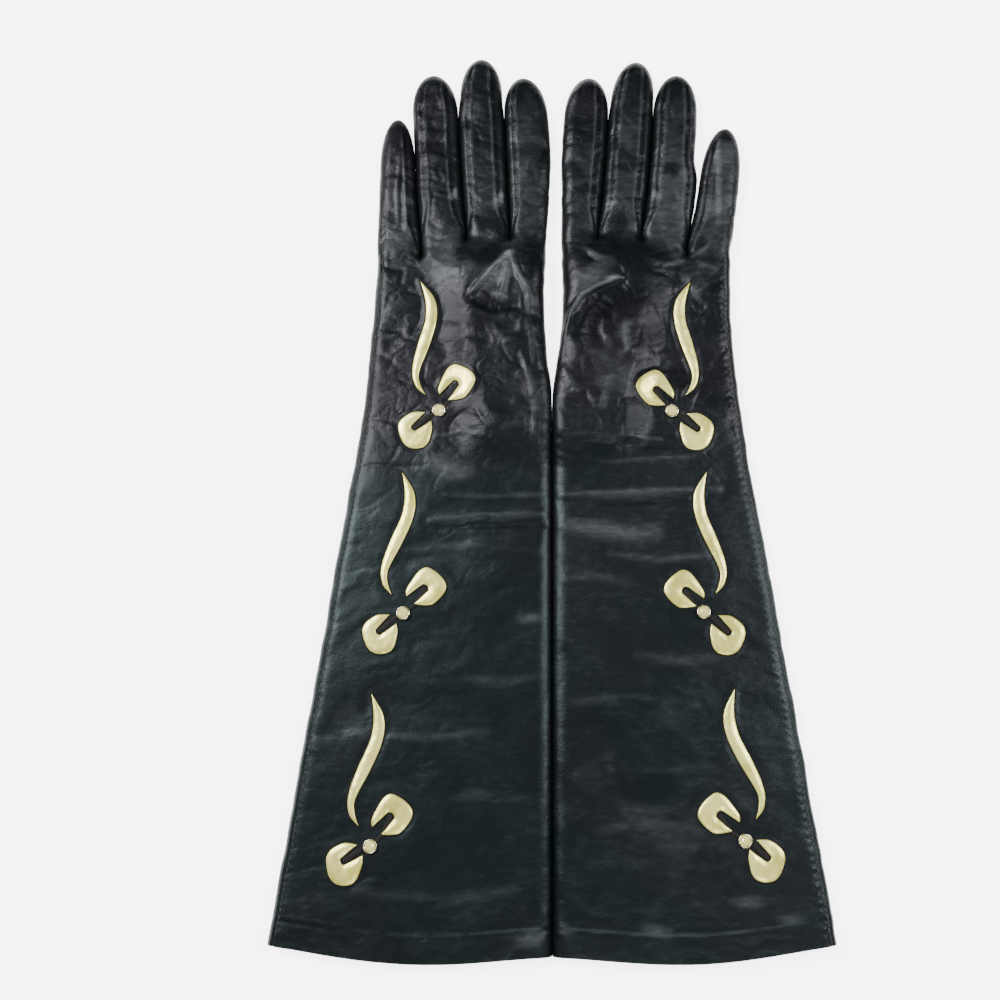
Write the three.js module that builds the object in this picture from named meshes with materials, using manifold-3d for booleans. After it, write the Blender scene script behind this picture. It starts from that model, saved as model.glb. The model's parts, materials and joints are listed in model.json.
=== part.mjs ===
// A pair of long leather dress gloves lying flat on a table, backs up and fingers towards +Y, with the
// thumbs folded under the palms. Each back carries three bow ornaments of gold leather with a set stone.
//
// Units are millimetres and +Z is up. The origin is on the table under the middle of the pair.
// A glove is modelled in its own frame: x is the distance outwards from the line between the two
// gloves (thumb side to little-finger side), y is the height above the lowest point of the cuff, and
// the left glove is the mirror image of that frame.
import * as THREE from "three";
import { mergeVertices } from "three/addons/utils/BufferGeometryUtils.js";
import Module from "manifold-3d";

const wasm = await Module();
wasm.setup();

// ---- Driving dimensions -----------------------------------------------------------------------

const LEATHER = 0.8; // thickness of the black skin
const GAP = 0.3; // clearance between pieces that are sewn or laid together

const BODY_HEIGHT = 9; // flattened sleeve, hand and finger roots, table to back
const BODY_EDGE = 11; // how far the rounded fold at each side reaches in

const CUFF_WIDTH = 129.6; // flat width at the opening
const CUFF_OUTER_RISE = 9; // the opening's outer corner is this far above its lowest point
const CUFF_INNER_RISE = 4; // and its inner corner this far
const CUFF_DIP = 6.6; // its edge bows out by this much between them
const PAIR_INSET = 0.4; // each sleeve stands this far off the line between the gloves
const HEM_DEPTH = 12; // turned-in hem at the opening

const SLEEVE_LENGTH = 234; // from the cuff's lowest point to the wrist
const WRIST_Y = SLEEVE_LENGTH;
const WRIST_WIDTH = 97.6;
const WRIST_GAP = 0.3; // half of the clearance at the wrist fold
const WRIST_BACK_BEND = 30; // degrees that the hand can bend up

const HEEL_Y = WRIST_Y + 36; // heel of the hand
const HEEL_WAIST = 1; // the hand's outer edge is drawn in by this much there
const PALM_Y = WRIST_Y + 76;
const PALM_OUTER = 91; // outer edge of the hand at PALM_Y
const KNUCKLE_Y = WRIST_Y + 123; // bending line of the index and middle fingers
const KNUCKLE_GAP = 0.2; // each side of a finger's bending line
const FINGER_BACK_BEND = 20; // degrees that a finger can bend up
const FINGER_SPACING = 0.6; // between neighbouring finger roots

// rootWidth and width are flat widths at the root and halfway; drop is how far the bending line lies
// below KNUCKLE_Y; fork is how far the fork on the finger's outer side lies below its bending line; tip
// is the length of the rounded end.
const FINGERS = [
  { name: "index", rootWidth: 19, width: 22.5, drop: 0, fork: 2, length: 88, tip: 22 },
  { name: "middle", rootWidth: 22, width: 22.5, drop: 0, fork: 3, length: 99, tip: 22 },
  { name: "ring", rootWidth: 22.5, width: 23, drop: 1, fork: 11.5, length: 90.5, tip: 22 },
  { name: "little", rootWidth: 22, width: 18.4, drop: 10, length: 72, tip: 28 },
];
const WIDENING = 0.45; // a finger reaches its width at this share of its length
const FINGER_EDGE = 6; // rounded side of a finger
const TIP_HEIGHT = 5; // thickness of a fingertip
const TIP_RISE = 0.4; // share of a tip's thinning that is taken off below
const TIP_WALL = 1.5; // the end of a fingertip is this many times as thick as the leather
const FOURCHETTE_WIDTH = 5; // how much of a side strip shows from above
const FOURCHETTE_START = 1.5; // its width at the fork
const FOURCHETTE_TAPER = 16; // length over which it widens
const FOURCHETTE_END = 7; // it stops this far short of the fingertip

const THUMB = { base: WRIST_Y + 32, length: 64, width: 24, tip: 20, height: 6.2 };
const THUMB_SWING = THUMB.height + 3; // the thumb's root swings back nearly this far
const THUMB_EDGE = 5;
const THUMB_TIP_HEIGHT = 4.65;
const THUMB_HOLE_WIDTH = 20;
const THUMB_CLEARANCE = 0.5;
const PALM_LIFT = THUMB.height + THUMB_CLEARANCE; // rise of the palm where it lies on the thumb
const BACK_LIFT = 4.2; // and the back this much above it
const LIFT_MARGIN = 2.5; // full lift reaches this far past the thumb
const LIFT_FADE = 12; // and fades out over this distance

// What differs between the two gloves. inset is the inner edge of the hand at PALM_Y and at the knuckles;
// lean is how far a fingertip lies outwards of its root, bow is the sideways bow halfway and taken is
// the length taken up by the finger's creases. A bow's stone is at an x and a height above the wrist, its
// tail has a turn in degrees, and each loop has a turn and the distance that it is shifted out.
const GLOVES = [
  {
    name: "left",
    side: -1,
    inset: { palm: 4, knuckle: 2.4 },
    lean: { index: 4.2, middle: 4.5, ring: 7.3, little: 1.2 },
    bow: { index: -2.3, middle: 1.4, ring: 1, little: 1.2 },
    taken: { index: 0, middle: 0, ring: 0, little: -1.6 },
    thumb: { x: 17.5, lean: 10 },
    bows: [
      { at: [56, 26.4], tail: -9.7, upper: [130, 0], lower: [-40, 1.6] },
      { at: [71.2, -74.2], tail: -2.5, upper: [140, -0.3], lower: [-42, 1] },
      { at: [83.6, -181.4], tail: -2, upper: [134, 0], lower: [-33, 0.4] },
    ],
  },
  {
    name: "right",
    side: 1,
    inset: { palm: 5.3, knuckle: 4.6 },
    lean: { index: 5.2, middle: 8.2, ring: 8, little: 9.4 },
    bow: { index: -0.3, middle: 1.5, ring: 1.6, little: 2.4 },
    taken: { index: 0, middle: 1.6, ring: 0, little: 3.6 },
    thumb: { x: 18, lean: 13 },
    bows: [
      { at: [59.4, 26.1], tail: -9.8, upper: [136, -2.4], lower: [-40, 2.2] },
      { at: [72.4, -73.7], tail: -3.6, upper: [141, -2.7], lower: [-44, 1.9] },
      { at: [88.6, -179], tail: 1.3, upper: [144, 0], lower: [-42, -0.6] },
    ],
  },
];

// The bow ornament, in a frame with its stone at 0,0, x outwards and y towards the fingers.
const APPLIQUE = 0.6; // thickness of the gold leather
const REST_MARGIN = 1.2; // a loop clears the back as if it were this much longer
const TAIL_POINT = { top: [-0.6, 69.8], bottom: [5.1, 8.8] };
const TAIL_SPINE = [
  // x, y and half width
  [-3.8, 60.4, 2.2],
  [-4.2, 53.4, 2.9],
  [-2.5, 45.9, 3],
  [1.6, 37.1, 3.1],
  [4.6, 31, 2.8],
  [7.3, 25.2, 2.3],
  [8.9, 19.4, 1.7],
  [8, 13.5, 1.3],
];

// Each loop of the bow is a fan with a slot that opens towards the stone. Its outline is in a frame
// whose x runs out from the stone, and the slot's line passes the stone at a small offset.
const LOOPS = {
  upper: {
    offset: -2.8,
    near: [[6.4, -2.4], [9.3, -5.7]],
    fan: [[21.7, -8.2], [25.4, 0.6], [23.3, 7.1], [14.5, 8.8]],
    back: [[10, 6.2], [6.5, 2.4]],
    slot: { end: 17.2, half: 1.9 },
  },
  lower: {
    offset: 1.1,
    near: [[4.4, -2.5], [7.2, -6.6]],
    fan: [[14.2, -11], [20.4, -8.2], [22.4, -2.2], [18.2, 6.6]],
    back: [[9.4, 7], [4, 2.6]],
    slot: { end: 14.6, half: 1.6 },
  },
};

const STONE_RADIUS = 2.3;
const STONE_HEIGHT = 2;
const CULET_SHARE = 0.9; // radius of the stone's underside, as a share of its full radius
const GIRDLE_SHARE = 0.45; // height of its widest line, as a share of its height
const TABLE_SHARE = 0.62; // radius of its flat top
const CUP_WALL = 0.5;
const CUP_HEIGHT = 1.5;
const CUP_FLOOR = 0.5;

// ---- Materials --------------------------------------------------------------------------------

const blackLeather = new THREE.MeshStandardMaterial({ color: 0x15161a, roughness: 0.42 });
const goldLeather = new THREE.MeshStandardMaterial({ color: 0xd9d19c, roughness: 0.36, metalness: 0.7 });
const goldMetal = new THREE.MeshStandardMaterial({ color: 0xcbb26a, roughness: 0.25, metalness: 1 });
const crystal = new THREE.MeshStandardMaterial({ color: 0xf2efe6, roughness: 0.05 });

// ---- Solids -----------------------------------------------------------------------------------

// A closed geometry as a manifold-3d solid.
function solid(geometry) {
  const bare = geometry.index ? geometry.toNonIndexed() : geometry.clone();
  bare.deleteAttribute("normal");
  bare.deleteAttribute("uv");
  const merged = mergeVertices(bare, 1e-4);
  return new wasm.Manifold(
    new wasm.Mesh({
      numProp: 3,
      vertProperties: merged.attributes.position.array,
      triVerts: new Uint32Array(merged.index.array),
    }),
  );
}

// A manifold-3d solid as a three.js mesh.
function meshOf(made, name, material) {
  const { numProp, numVert, vertProperties, triVerts } = made.getMesh();
  const positions = new Float32Array(numVert * 3);
  for (let i = 0; i < numVert; i++) {
    positions.set(vertProperties.subarray(i * numProp, i * numProp + 3), i * 3);
  }
  const geometry = new THREE.BufferGeometry()
    .setAttribute("position", new THREE.BufferAttribute(positions, 3))
    .setIndex(new THREE.BufferAttribute(triVerts, 1));
  geometry.computeVertexNormals();
  const mesh = new THREE.Mesh(geometry, material);
  mesh.name = name;
  return mesh;
}

// A block between two corners.
function block([x0, y0, z0], [x1, y1, z1]) {
  const box = new THREE.BoxGeometry(x1 - x0, y1 - y0, z1 - z0);
  box.translate((x0 + x1) / 2, (y0 + y1) / 2, (z0 + z1) / 2);
  return solid(box);
}

// A plan outline raised from one height to another.
function prism(shape, z0, z1) {
  const geometry = new THREE.ExtrudeGeometry(shape, { depth: z1 - z0, bevelEnabled: false });
  geometry.translate(0, 0, z0);
  return solid(geometry);
}

const smoothstep = (from, to, value) => THREE.MathUtils.smoothstep(value, from, to);

// A smooth function of y through a few [y, value] points.
function through(points) {
  const curve = new THREE.SplineCurve(points.map(([y, value]) => new THREE.Vector2(y, value)));
  const samples = curve.getPoints(80);
  return (y) => {
    const next = samples.findIndex((p) => p.x >= y);
    if (next === 0) return samples[0].y;
    if (next < 0) return samples.at(-1).y;
    const [a, b] = [samples[next - 1], samples[next]];
    return THREE.MathUtils.lerp(a.y, b.y, (y - a.x) / (b.x - a.x));
  };
}

// ---- Flattened tubes --------------------------------------------------------------------------

const EDGE_STEPS = 4;

// The outline of a flattened tube, anticlockwise as seen from the cuff: flat below and above, with an
// elliptical fold at each side. place turns each x, z into a point.
function ring({ left, right, bottom, top, edge }, flatSteps, place) {
  const points = [];
  const middle = (bottom + top) / 2;
  const half = (top - bottom) / 2;
  const reach = Math.min(edge, (right - left) / 2 - 0.1);
  for (const [centre, start] of [[right - reach, -Math.PI / 2], [left + reach, Math.PI / 2]]) {
    for (let i = 0; i <= EDGE_STEPS; i++) {
      const angle = start + (Math.PI * i) / EDGE_STEPS;
      points.push([centre + reach * Math.cos(angle), middle + half * Math.sin(angle)]);
    }
    const [from, to] = start < 0 ? [right - reach, left + reach] : [left + reach, right - reach];
    for (let i = 1; i < flatSteps; i++) {
      points.push([THREE.MathUtils.lerp(from, to, i / flatSteps), start < 0 ? top : bottom]);
    }
  }
  return points.map(([x, z]) => place(x, z));
}

// A solid through rings of equal length, closed by a flat cap at each end.
function loft(rings) {
  const count = rings[0].length;
  const positions = [];
  const face = (...corners) => corners.forEach((p) => positions.push(p.x, p.y, p.z));
  for (let r = 1; r < rings.length; r++) {
    for (let i = 0; i < count; i++) {
      const j = (i + 1) % count;
      face(rings[r - 1][i], rings[r][j], rings[r - 1][j]);
      face(rings[r - 1][i], rings[r][i], rings[r][j]);
    }
  }
  const [first, last] = [rings[0], rings.at(-1)];
  for (let i = 1; i < count - 1; i++) {
    face(first[0], first[i], first[i + 1]);
    face(last[0], last[i + 1], last[i]);
  }
  const geometry = new THREE.BufferGeometry();
  geometry.setAttribute("position", new THREE.Float32BufferAttribute(positions, 3));
  return solid(geometry);
}

// The same section drawn in by the leather's thickness on every side.
function inset(section, by) {
  return {
    left: section.left + by,
    right: section.right - by,
    bottom: section.bottom + by,
    top: section.top - by,
    edge: section.edge - by,
  };
}

// ---- Hand and sleeve --------------------------------------------------------------------------

const BEYOND = 20; // cutting shapes and construction lines run past the leather by this much
const hingeOf = (finger) => KNUCKLE_Y - finger.drop;
const forkOf = (finger) => hingeOf(finger) - finger.fork;

// The two edges of a glove's sleeve and hand, as functions of y.
function edgesOf(glove) {
  const fingersWide =
    FINGERS.reduce((sum, f) => sum + f.rootWidth, 0) + FINGER_SPACING * (FINGERS.length - 1);
  return {
    inner: through([
      [-BEYOND, PAIR_INSET],
      [WRIST_Y, PAIR_INSET],
      [HEEL_Y, PAIR_INSET],
      [PALM_Y, glove.inset.palm],
      [KNUCKLE_Y, glove.inset.knuckle],
    ]),
    outer: (y) => {
      if (y < WRIST_Y) {
        const share = (y - CUFF_OUTER_RISE) / (WRIST_Y - CUFF_OUTER_RISE);
        return PAIR_INSET + THREE.MathUtils.lerp(CUFF_WIDTH, WRIST_WIDTH, share);
      }
      return handOuter(glove, fingersWide)(y);
    },
  };
}

function handOuter(glove, fingersWide) {
  return through([
    [WRIST_Y, PAIR_INSET + WRIST_WIDTH],
    [HEEL_Y, PAIR_INSET + (WRIST_WIDTH + PALM_OUTER) / 2 - HEEL_WAIST],
    [PALM_Y, PALM_OUTER],
    [hingeOf(FINGERS.at(-1)), glove.inset.knuckle + fingersWide],
    [KNUCKLE_Y, glove.inset.knuckle + fingersWide],
  ]);
}

function bodySection(glove, y) {
  const { inner, outer } = edgesOf(glove);
  return { left: inner(y), right: outer(y), bottom: 0, top: BODY_HEIGHT, edge: BODY_EDGE };
}

// The cuff's edge dips between its two corners.
function cuffEdge(x) {
  const share = THREE.MathUtils.clamp(x / CUFF_WIDTH, 0, 1);
  const chord = THREE.MathUtils.lerp(CUFF_INNER_RISE, CUFF_OUTER_RISE, share);
  return chord - CUFF_DIP * Math.sin(Math.PI * share);
}

// A slit that opens a tube along the sewn seam on the little-finger side.
function seamSlit(glove, y0, y1) {
  const { outer } = edgesOf(glove);
  const middle = BODY_HEIGHT / 2;
  const low = [Math.min(outer(y0), outer(y1)) - BODY_EDGE / 2, y0, middle - GAP / 2];
  return block(low, [Math.max(outer(y0), outer(y1)) + 1, y1, middle + GAP / 2]);
}

const SLEEVE_FLAT_STEPS = 5;
const STRAIGHT_END = 30; // last straight stretch of the sleeve below the wrist
const straightAcross = () => 0;

// A tube of the sleeve's shape, drawn in by some distance. Each row has a y and the rise and fall of
// the row across the sleeve.
function sleeveCore(glove, by, rows) {
  const rings = rows.map(([y, rise]) => {
    const left = bodySection(glove, y + rise(0)).left;
    const right = bodySection(glove, y + rise(CUFF_WIDTH)).right;
    const section = inset({ ...bodySection(glove, y), left, right }, by);
    return ring(section, SLEEVE_FLAT_STEPS, (x, z) => new THREE.Vector3(x, y + rise(x), z));
  });
  return loft(rings);
}

// The sleeve is one skin folded on the thumb side, with an open seam on the little-finger side.
function sleeveTrank(glove) {
  const top = WRIST_Y - WRIST_GAP;
  const belowWrist = top - STRAIGHT_END;
  const skin = sleeveCore(glove, 0, [
    [0, cuffEdge],
    [top / 3, straightAcross],
    [belowWrist, straightAcross],
    [top, straightAcross],
  ]);
  const hollow = sleeveCore(glove, LEATHER, [
    [-BEYOND / 2, straightAcross],
    [belowWrist, straightAcross],
    [top + BEYOND / 2, straightAcross],
  ]);
  return skin.subtract(hollow).subtract(seamSlit(glove, 2 * HEM_DEPTH, top + 1));
}

// The hem is turned in behind the edge of the cuff and lies against the inside of the sleeve.
function cuffHem(glove) {
  const outside = LEATHER + GAP;
  const start = 2 * LEATHER;
  const band = sleeveCore(glove, outside, [
    [start, cuffEdge],
    [HEM_DEPTH, cuffEdge],
  ]);
  const hollow = sleeveCore(glove, outside + LEATHER, [
    [start - BEYOND, cuffEdge],
    [HEM_DEPTH + BEYOND, cuffEdge],
  ]);
  return band.subtract(hollow);
}

// How much of the full lift over the folded thumb reaches a point of the hand.
function liftAt(glove, x, y) {
  const along = THREE.MathUtils.clamp(y, THUMB.base - THUMB_SWING, THUMB.base + THUMB.length);
  const share = (along - THUMB.base) / THUMB.length;
  const centre = glove.thumb.x + glove.thumb.lean * share;
  const across = Math.max(Math.abs(x - centre) - THUMB.width / 2, 0);
  const distance = Math.hypot(across, y - along);
  return 1 - smoothstep(LIFT_MARGIN, LIFT_MARGIN + LIFT_FADE, distance);
}

const HAND_FLAT_STEPS = 8;
const HAND_STATIONS = [0, 12, 20, 28, 42, 60, 78, 92, 102, 112, 124].map((offset) => WRIST_Y + offset);

function handCore(glove, by, extend) {
  const slope = Math.tan(THREE.MathUtils.degToRad(WRIST_BACK_BEND));
  const rings = HAND_STATIONS.map((station, i) => {
    const section = inset(bodySection(glove, station), by);
    return ring(section, HAND_FLAT_STEPS, (x, z) => {
      const share = z / BODY_HEIGHT;
      const lift = liftAt(glove, x, station) * THREE.MathUtils.lerp(PALM_LIFT, BACK_LIFT, share);
      const start = i === 0 ? WRIST_GAP + z * slope - extend : 0;
      const end = i === HAND_STATIONS.length - 1 ? extend : 0;
      return new THREE.Vector3(x, station + start + end, z + lift);
    });
  });
  return loft(rings);
}

// The lateral limits of each finger's root.
function rootsOf(glove) {
  let left = glove.inset.knuckle;
  return FINGERS.map((finger) => {
    const root = { left, right: left + finger.rootWidth };
    left = root.right + FINGER_SPACING;
    return root;
  });
}

// The plan of the hand: straight across at each finger's bending line and forked between fingers.
function handPlan(glove) {
  const roots = rootsOf(glove);
  const shape = new THREE.Shape();
  shape.moveTo(-BEYOND, WRIST_Y - BEYOND);
  shape.lineTo(-BEYOND, KNUCKLE_Y - KNUCKLE_GAP);
  FINGERS.forEach((finger, i) => {
    const top = hingeOf(finger) - KNUCKLE_GAP;
    const right = i === FINGERS.length - 1 ? CUFF_WIDTH + BEYOND : roots[i].right;
    if (i > 0) shape.lineTo(roots[i].left, top);
    shape.lineTo(right, top);
    if (i < FINGERS.length - 1) {
      shape.lineTo(right, forkOf(finger));
      shape.lineTo(roots[i + 1].left, forkOf(finger));
    }
  });
  shape.lineTo(CUFF_WIDTH + BEYOND, WRIST_Y - BEYOND);
  return prism(shape, -BEYOND, BODY_HEIGHT + BEYOND);
}

function thumbHole(glove) {
  const half = THUMB_HOLE_WIDTH / 2;
  const far = THUMB.base - THUMB.height + GAP;
  const low = [glove.thumb.x - half, far, PALM_LIFT - 2 * LEATHER];
  return block(low, [glove.thumb.x + half, THUMB.base - GAP, PALM_LIFT + 3 * LEATHER]);
}

function handTrank(glove) {
  const slit = seamSlit(glove, WRIST_Y - 1, hingeOf(FINGERS.at(-1)) + BEYOND);
  return handCore(glove, 0, 0)
    .subtract(handCore(glove, LEATHER, BEYOND / 2))
    .intersect(handPlan(glove))
    .subtract(slit)
    .subtract(thumbHole(glove));
}

// ---- Fingers and thumbs -----------------------------------------------------------------------

const FINGER_FLAT_STEPS = 2;
const TIP_ANGLES = [0, 30, 55, 76]; // around the rounded end, in degrees
const CORE_OVERRUN = 8; // a hollow runs past its open root by this many leather thicknesses
const STRIP_SHARE = 0.45; // a side strip covers at most this share of a finger's half width

// The stations of a sheath from its root, each with the distance from the root, half width and height.
function sheathStations({ rootWidth, width, length, tip, height, tipHeight }) {
  const last = THREE.MathUtils.degToRad(TIP_ANGLES.at(-1));
  const straight = length - tip;
  const stations = [0, 0.2, 0.6].map((share) => {
    const s = share * straight;
    const half = THREE.MathUtils.lerp(rootWidth, width, smoothstep(0, WIDENING * length, s)) / 2;
    return { s, half, height };
  });
  for (const degrees of TIP_ANGLES) {
    const angle = THREE.MathUtils.degToRad(degrees);
    const share = Math.sin(angle) / Math.sin(last);
    stations.push({
      s: straight + tip * share,
      half: (width / 2) * Math.cos(angle),
      height: THREE.MathUtils.lerp(height, tipHeight, share ** 3),
    });
  }
  return stations;
}

// A sheath's solid core along its leaning, bowed centre line, drawn in by some distance.
function sheathCore(sheath, by) {
  const { x, y, lean, bow, length, edge, slope, rootGap } = sheath;
  const stations = sheathStations(sheath);
  const rings = stations.map(({ s, half, height }, i) => {
    const share = s / length;
    const centre = x + lean * share + bow * Math.sin(Math.PI * share);
    const rise = (sheath.height - height) * TIP_RISE;
    const section = inset(
      { left: centre - half, right: centre + half, bottom: rise, top: rise + height, edge },
      Math.min(by, half * 0.4),
    );
    const root = (z) => (i === 0 ? rootGap + z * slope - by * CORE_OVERRUN : 0);
    const end = i === stations.length - 1 ? -by * TIP_WALL : 0;
    const place = (px, pz) => new THREE.Vector3(px, y + s + end + root(pz), pz);
    return ring(section, FINGER_FLAT_STEPS, place);
  });
  return loft(rings);
}

const sheathSkin = (sheath) => sheathCore(sheath, 0).subtract(sheathCore(sheath, LEATHER));

// The plan of the side strip on one side of a finger, shrunk or grown by some distance.
function fourchettePlan(sheath, side, grow) {
  const shape = new THREE.Shape();
  const far = side * (sheath.width + BEYOND);
  const seam = sheathStations(sheath).filter(({ s }) => s < sheath.length - FOURCHETTE_END);
  const points = seam.map(({ s, half }) => {
    const share = s / sheath.length;
    const centre = sheath.x + sheath.lean * share + sheath.bow * Math.sin(Math.PI * share);
    const showing = THREE.MathUtils.lerp(
      FOURCHETTE_START,
      FOURCHETTE_WIDTH,
      smoothstep(0, FOURCHETTE_TAPER, s),
    );
    const cover = Math.min(showing, half * STRIP_SHARE) + grow;
    return [centre + side * (half - cover), sheath.y + s];
  });
  const end = sheath.y + sheath.length - FOURCHETTE_END + grow;
  shape.moveTo(points[0][0], sheath.y - BEYOND);
  points.forEach(([px, py]) => shape.lineTo(px, py));
  shape.lineTo(points.at(-1)[0], end);
  shape.lineTo(sheath.x + far, end);
  shape.lineTo(sheath.x + far, sheath.y - BEYOND);
  return prism(shape, -BEYOND, BODY_HEIGHT + BEYOND);
}

function fingerMeshes(glove, finger, i) {
  const root = rootsOf(glove)[i];
  const sheath = {
    ...finger,
    length: finger.length - glove.taken[finger.name],
    x: (root.left + root.right) / 2,
    y: hingeOf(finger),
    lean: glove.lean[finger.name],
    bow: glove.bow[finger.name],
    height: BODY_HEIGHT,
    tipHeight: TIP_HEIGHT,
    edge: FINGER_EDGE,
    slope: Math.tan(THREE.MathUtils.degToRad(FINGER_BACK_BEND)),
    rootGap: KNUCKLE_GAP,
  };
  const skin = sheathSkin(sheath);
  const strips = [];
  if (i > 0) strips.push({ side: -1, name: "inner" });
  if (i < FINGERS.length - 1) strips.push({ side: 1, name: "outer" });
  const label = `${glove.name}_${finger.name}`;
  const meshes = strips.map(({ side, name }) =>
    meshOf(
      skin.intersect(fourchettePlan(sheath, side, 0)),
      `${label}_fourchette_${name}`,
      blackLeather,
    ),
  );
  const trank = strips.reduce((left, { side }) => left.subtract(fourchettePlan(sheath, side, GAP)), skin);
  return [meshOf(trank, `${label}_trank`, blackLeather), ...meshes];
}

function thumbMesh(glove) {
  const sheath = {
    ...THUMB,
    rootWidth: THUMB.width,
    x: glove.thumb.x,
    y: THUMB.base,
    lean: glove.thumb.lean,
    bow: 0,
    tipHeight: THUMB_TIP_HEIGHT,
    edge: THUMB_EDGE,
    slope: 0,
    rootGap: 0,
  };
  return meshOf(sheathSkin(sheath), `${glove.name}_thumb`, blackLeather);
}

// ---- Bow ornaments ----------------------------------------------------------------------------

// The ribbon tail: a spine with a width at each point, ending in a point at both ends.
function tailShape() {
  const spine = TAIL_SPINE.map(([x, y]) => new THREE.Vector2(x, y));
  const along = new THREE.SplineCurve(spine);
  const sideOf = (sign) =>
    TAIL_SPINE.map(([x, y, half], i) => {
      const tangent = along.getTangent(i / (TAIL_SPINE.length - 1));
      return new THREE.Vector2(x + sign * half * tangent.y, y - sign * half * tangent.x);
    });
  const top = new THREE.Vector2(...TAIL_POINT.top);
  const bottom = new THREE.Vector2(...TAIL_POINT.bottom);
  const shape = new THREE.Shape();
  shape.moveTo(top.x, top.y);
  shape.splineThru([...sideOf(-1), bottom]);
  shape.splineThru([...sideOf(1).reverse(), top]);
  return shape;
}

// One loop of the bow, round its fan and back along the slot.
function loopShape({ near, fan, back, slot, offset }) {
  const [start, ...rest] = [...near, ...fan, ...back].map(([x, y]) => new THREE.Vector2(x, y + offset));
  const shape = new THREE.Shape();
  shape.moveTo(start.x, start.y);
  shape.splineThru(rest);
  shape.lineTo(slot.end - slot.half, offset + slot.half);
  shape.absarc(slot.end - slot.half, offset, slot.half, Math.PI / 2, -Math.PI / 2, true);
  return shape;
}

// A gold piece cut from a shape, laid at some height with its far end raised to follow the back.
function appliqueMesh(shape, name, z, slope) {
  const geometry = new THREE.ExtrudeGeometry(shape, {
    depth: APPLIQUE,
    bevelEnabled: false,
    curveSegments: 2,
  });
  const mesh = new THREE.Mesh(geometry, goldLeather);
  mesh.name = name;
  mesh.position.z = z;
  mesh.rotation.y = -Math.atan(slope);
  return mesh;
}

// A round metal cup with a floor, and a cut stone that stands in it.
function stoneMeshes(label, z) {
  const outer = STONE_RADIUS + GAP + CUP_WALL;
  const cupProfile = [
    [0, 0],
    [outer, 0],
    [outer, CUP_HEIGHT],
    [STONE_RADIUS + GAP, CUP_HEIGHT],
    [STONE_RADIUS + GAP, CUP_FLOOR],
    [0, CUP_FLOOR],
  ];
  const stoneProfile = [
    [0, 0],
    [STONE_RADIUS * CULET_SHARE, 0],
    [STONE_RADIUS, STONE_HEIGHT * GIRDLE_SHARE],
    [STONE_RADIUS * TABLE_SHARE, STONE_HEIGHT],
    [0, STONE_HEIGHT],
  ];
  const parts = [
    ["setting", cupProfile, goldMetal, z, 12],
    ["stone", stoneProfile, crystal, z + CUP_FLOOR + GAP, 8],
  ];
  return parts.map(([part, profile, material, height, sides]) => {
    const geometry = new THREE.LatheGeometry(profile.map(([r, h]) => new THREE.Vector2(r, h)), sides);
    geometry.rotateX(Math.PI / 2);
    const mesh = new THREE.Mesh(geometry, material);
    mesh.name = `${label}_${part}`;
    mesh.position.z = height;
    return mesh;
  });
}

// The slope of the back under a loop, from the stone to a little past the loop's far end.
function slopeUnder(glove, holder, { fan }) {
  const far = Math.max(...fan.map(([x]) => x)) * REST_MARGIN;
  const end = holder.localToWorld(new THREE.Vector3(far, 0, 0));
  return (BACK_LIFT * liftAt(glove, end.x, end.y)) / far;
}

// An empty frame in a bow, turned about its stone and shifted out along its own x.
function holderIn(bow, turn, shift = 0) {
  const holder = new THREE.Group();
  holder.rotation.z = THREE.MathUtils.degToRad(turn);
  holder.translateX(shift);
  bow.add(holder);
  bow.updateMatrixWorld(true);
  return holder;
}

function bowGroup(glove, placed, number) {
  const label = `${glove.name}_bow${number}`;
  const rest = BODY_HEIGHT + GAP;
  const bow = new THREE.Group();
  bow.position.set(placed.at[0], WRIST_Y + placed.at[1], 0);
  holderIn(bow, placed.tail).add(appliqueMesh(tailShape(), `${label}_tail`, rest, 0));
  for (const [name, loop] of Object.entries(LOOPS)) {
    const holder = holderIn(bow, ...placed[name]);
    const slope = slopeUnder(glove, holder, loop);
    holder.add(appliqueMesh(loopShape(loop), `${label}_${name}_loop`, rest, slope));
  }
  bow.add(...stoneMeshes(label, rest));
  return bow;
}

// ---- The pair ---------------------------------------------------------------------------------

function gloveGroup(glove) {
  const group = new THREE.Group();
  group.add(meshOf(sleeveTrank(glove), `${glove.name}_sleeve_trank`, blackLeather));
  group.add(meshOf(cuffHem(glove), `${glove.name}_cuff_hem`, blackLeather));
  group.add(meshOf(handTrank(glove), `${glove.name}_hand_trank`, blackLeather));
  group.add(thumbMesh(glove));
  FINGERS.forEach((finger, i) => group.add(...fingerMeshes(glove, finger, i)));
  glove.bows.forEach((bow, i) => group.add(bowGroup(glove, bow, i + 1)));
  group.scale.x = glove.side;
  return group;
}

const pair = new THREE.Group();
for (const glove of GLOVES) pair.add(gloveGroup(glove));

// The origin is under the middle of the pair.
const extent = new THREE.Box3().setFromObject(pair);
pair.position.y = -(extent.min.y + extent.max.y) / 2;

export default pair;
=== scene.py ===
"""Looks of a pair of long black leather gloves with gold bows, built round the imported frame."""

import json
import math

import bpy
import numpy as np
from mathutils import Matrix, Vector, geometry


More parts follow.
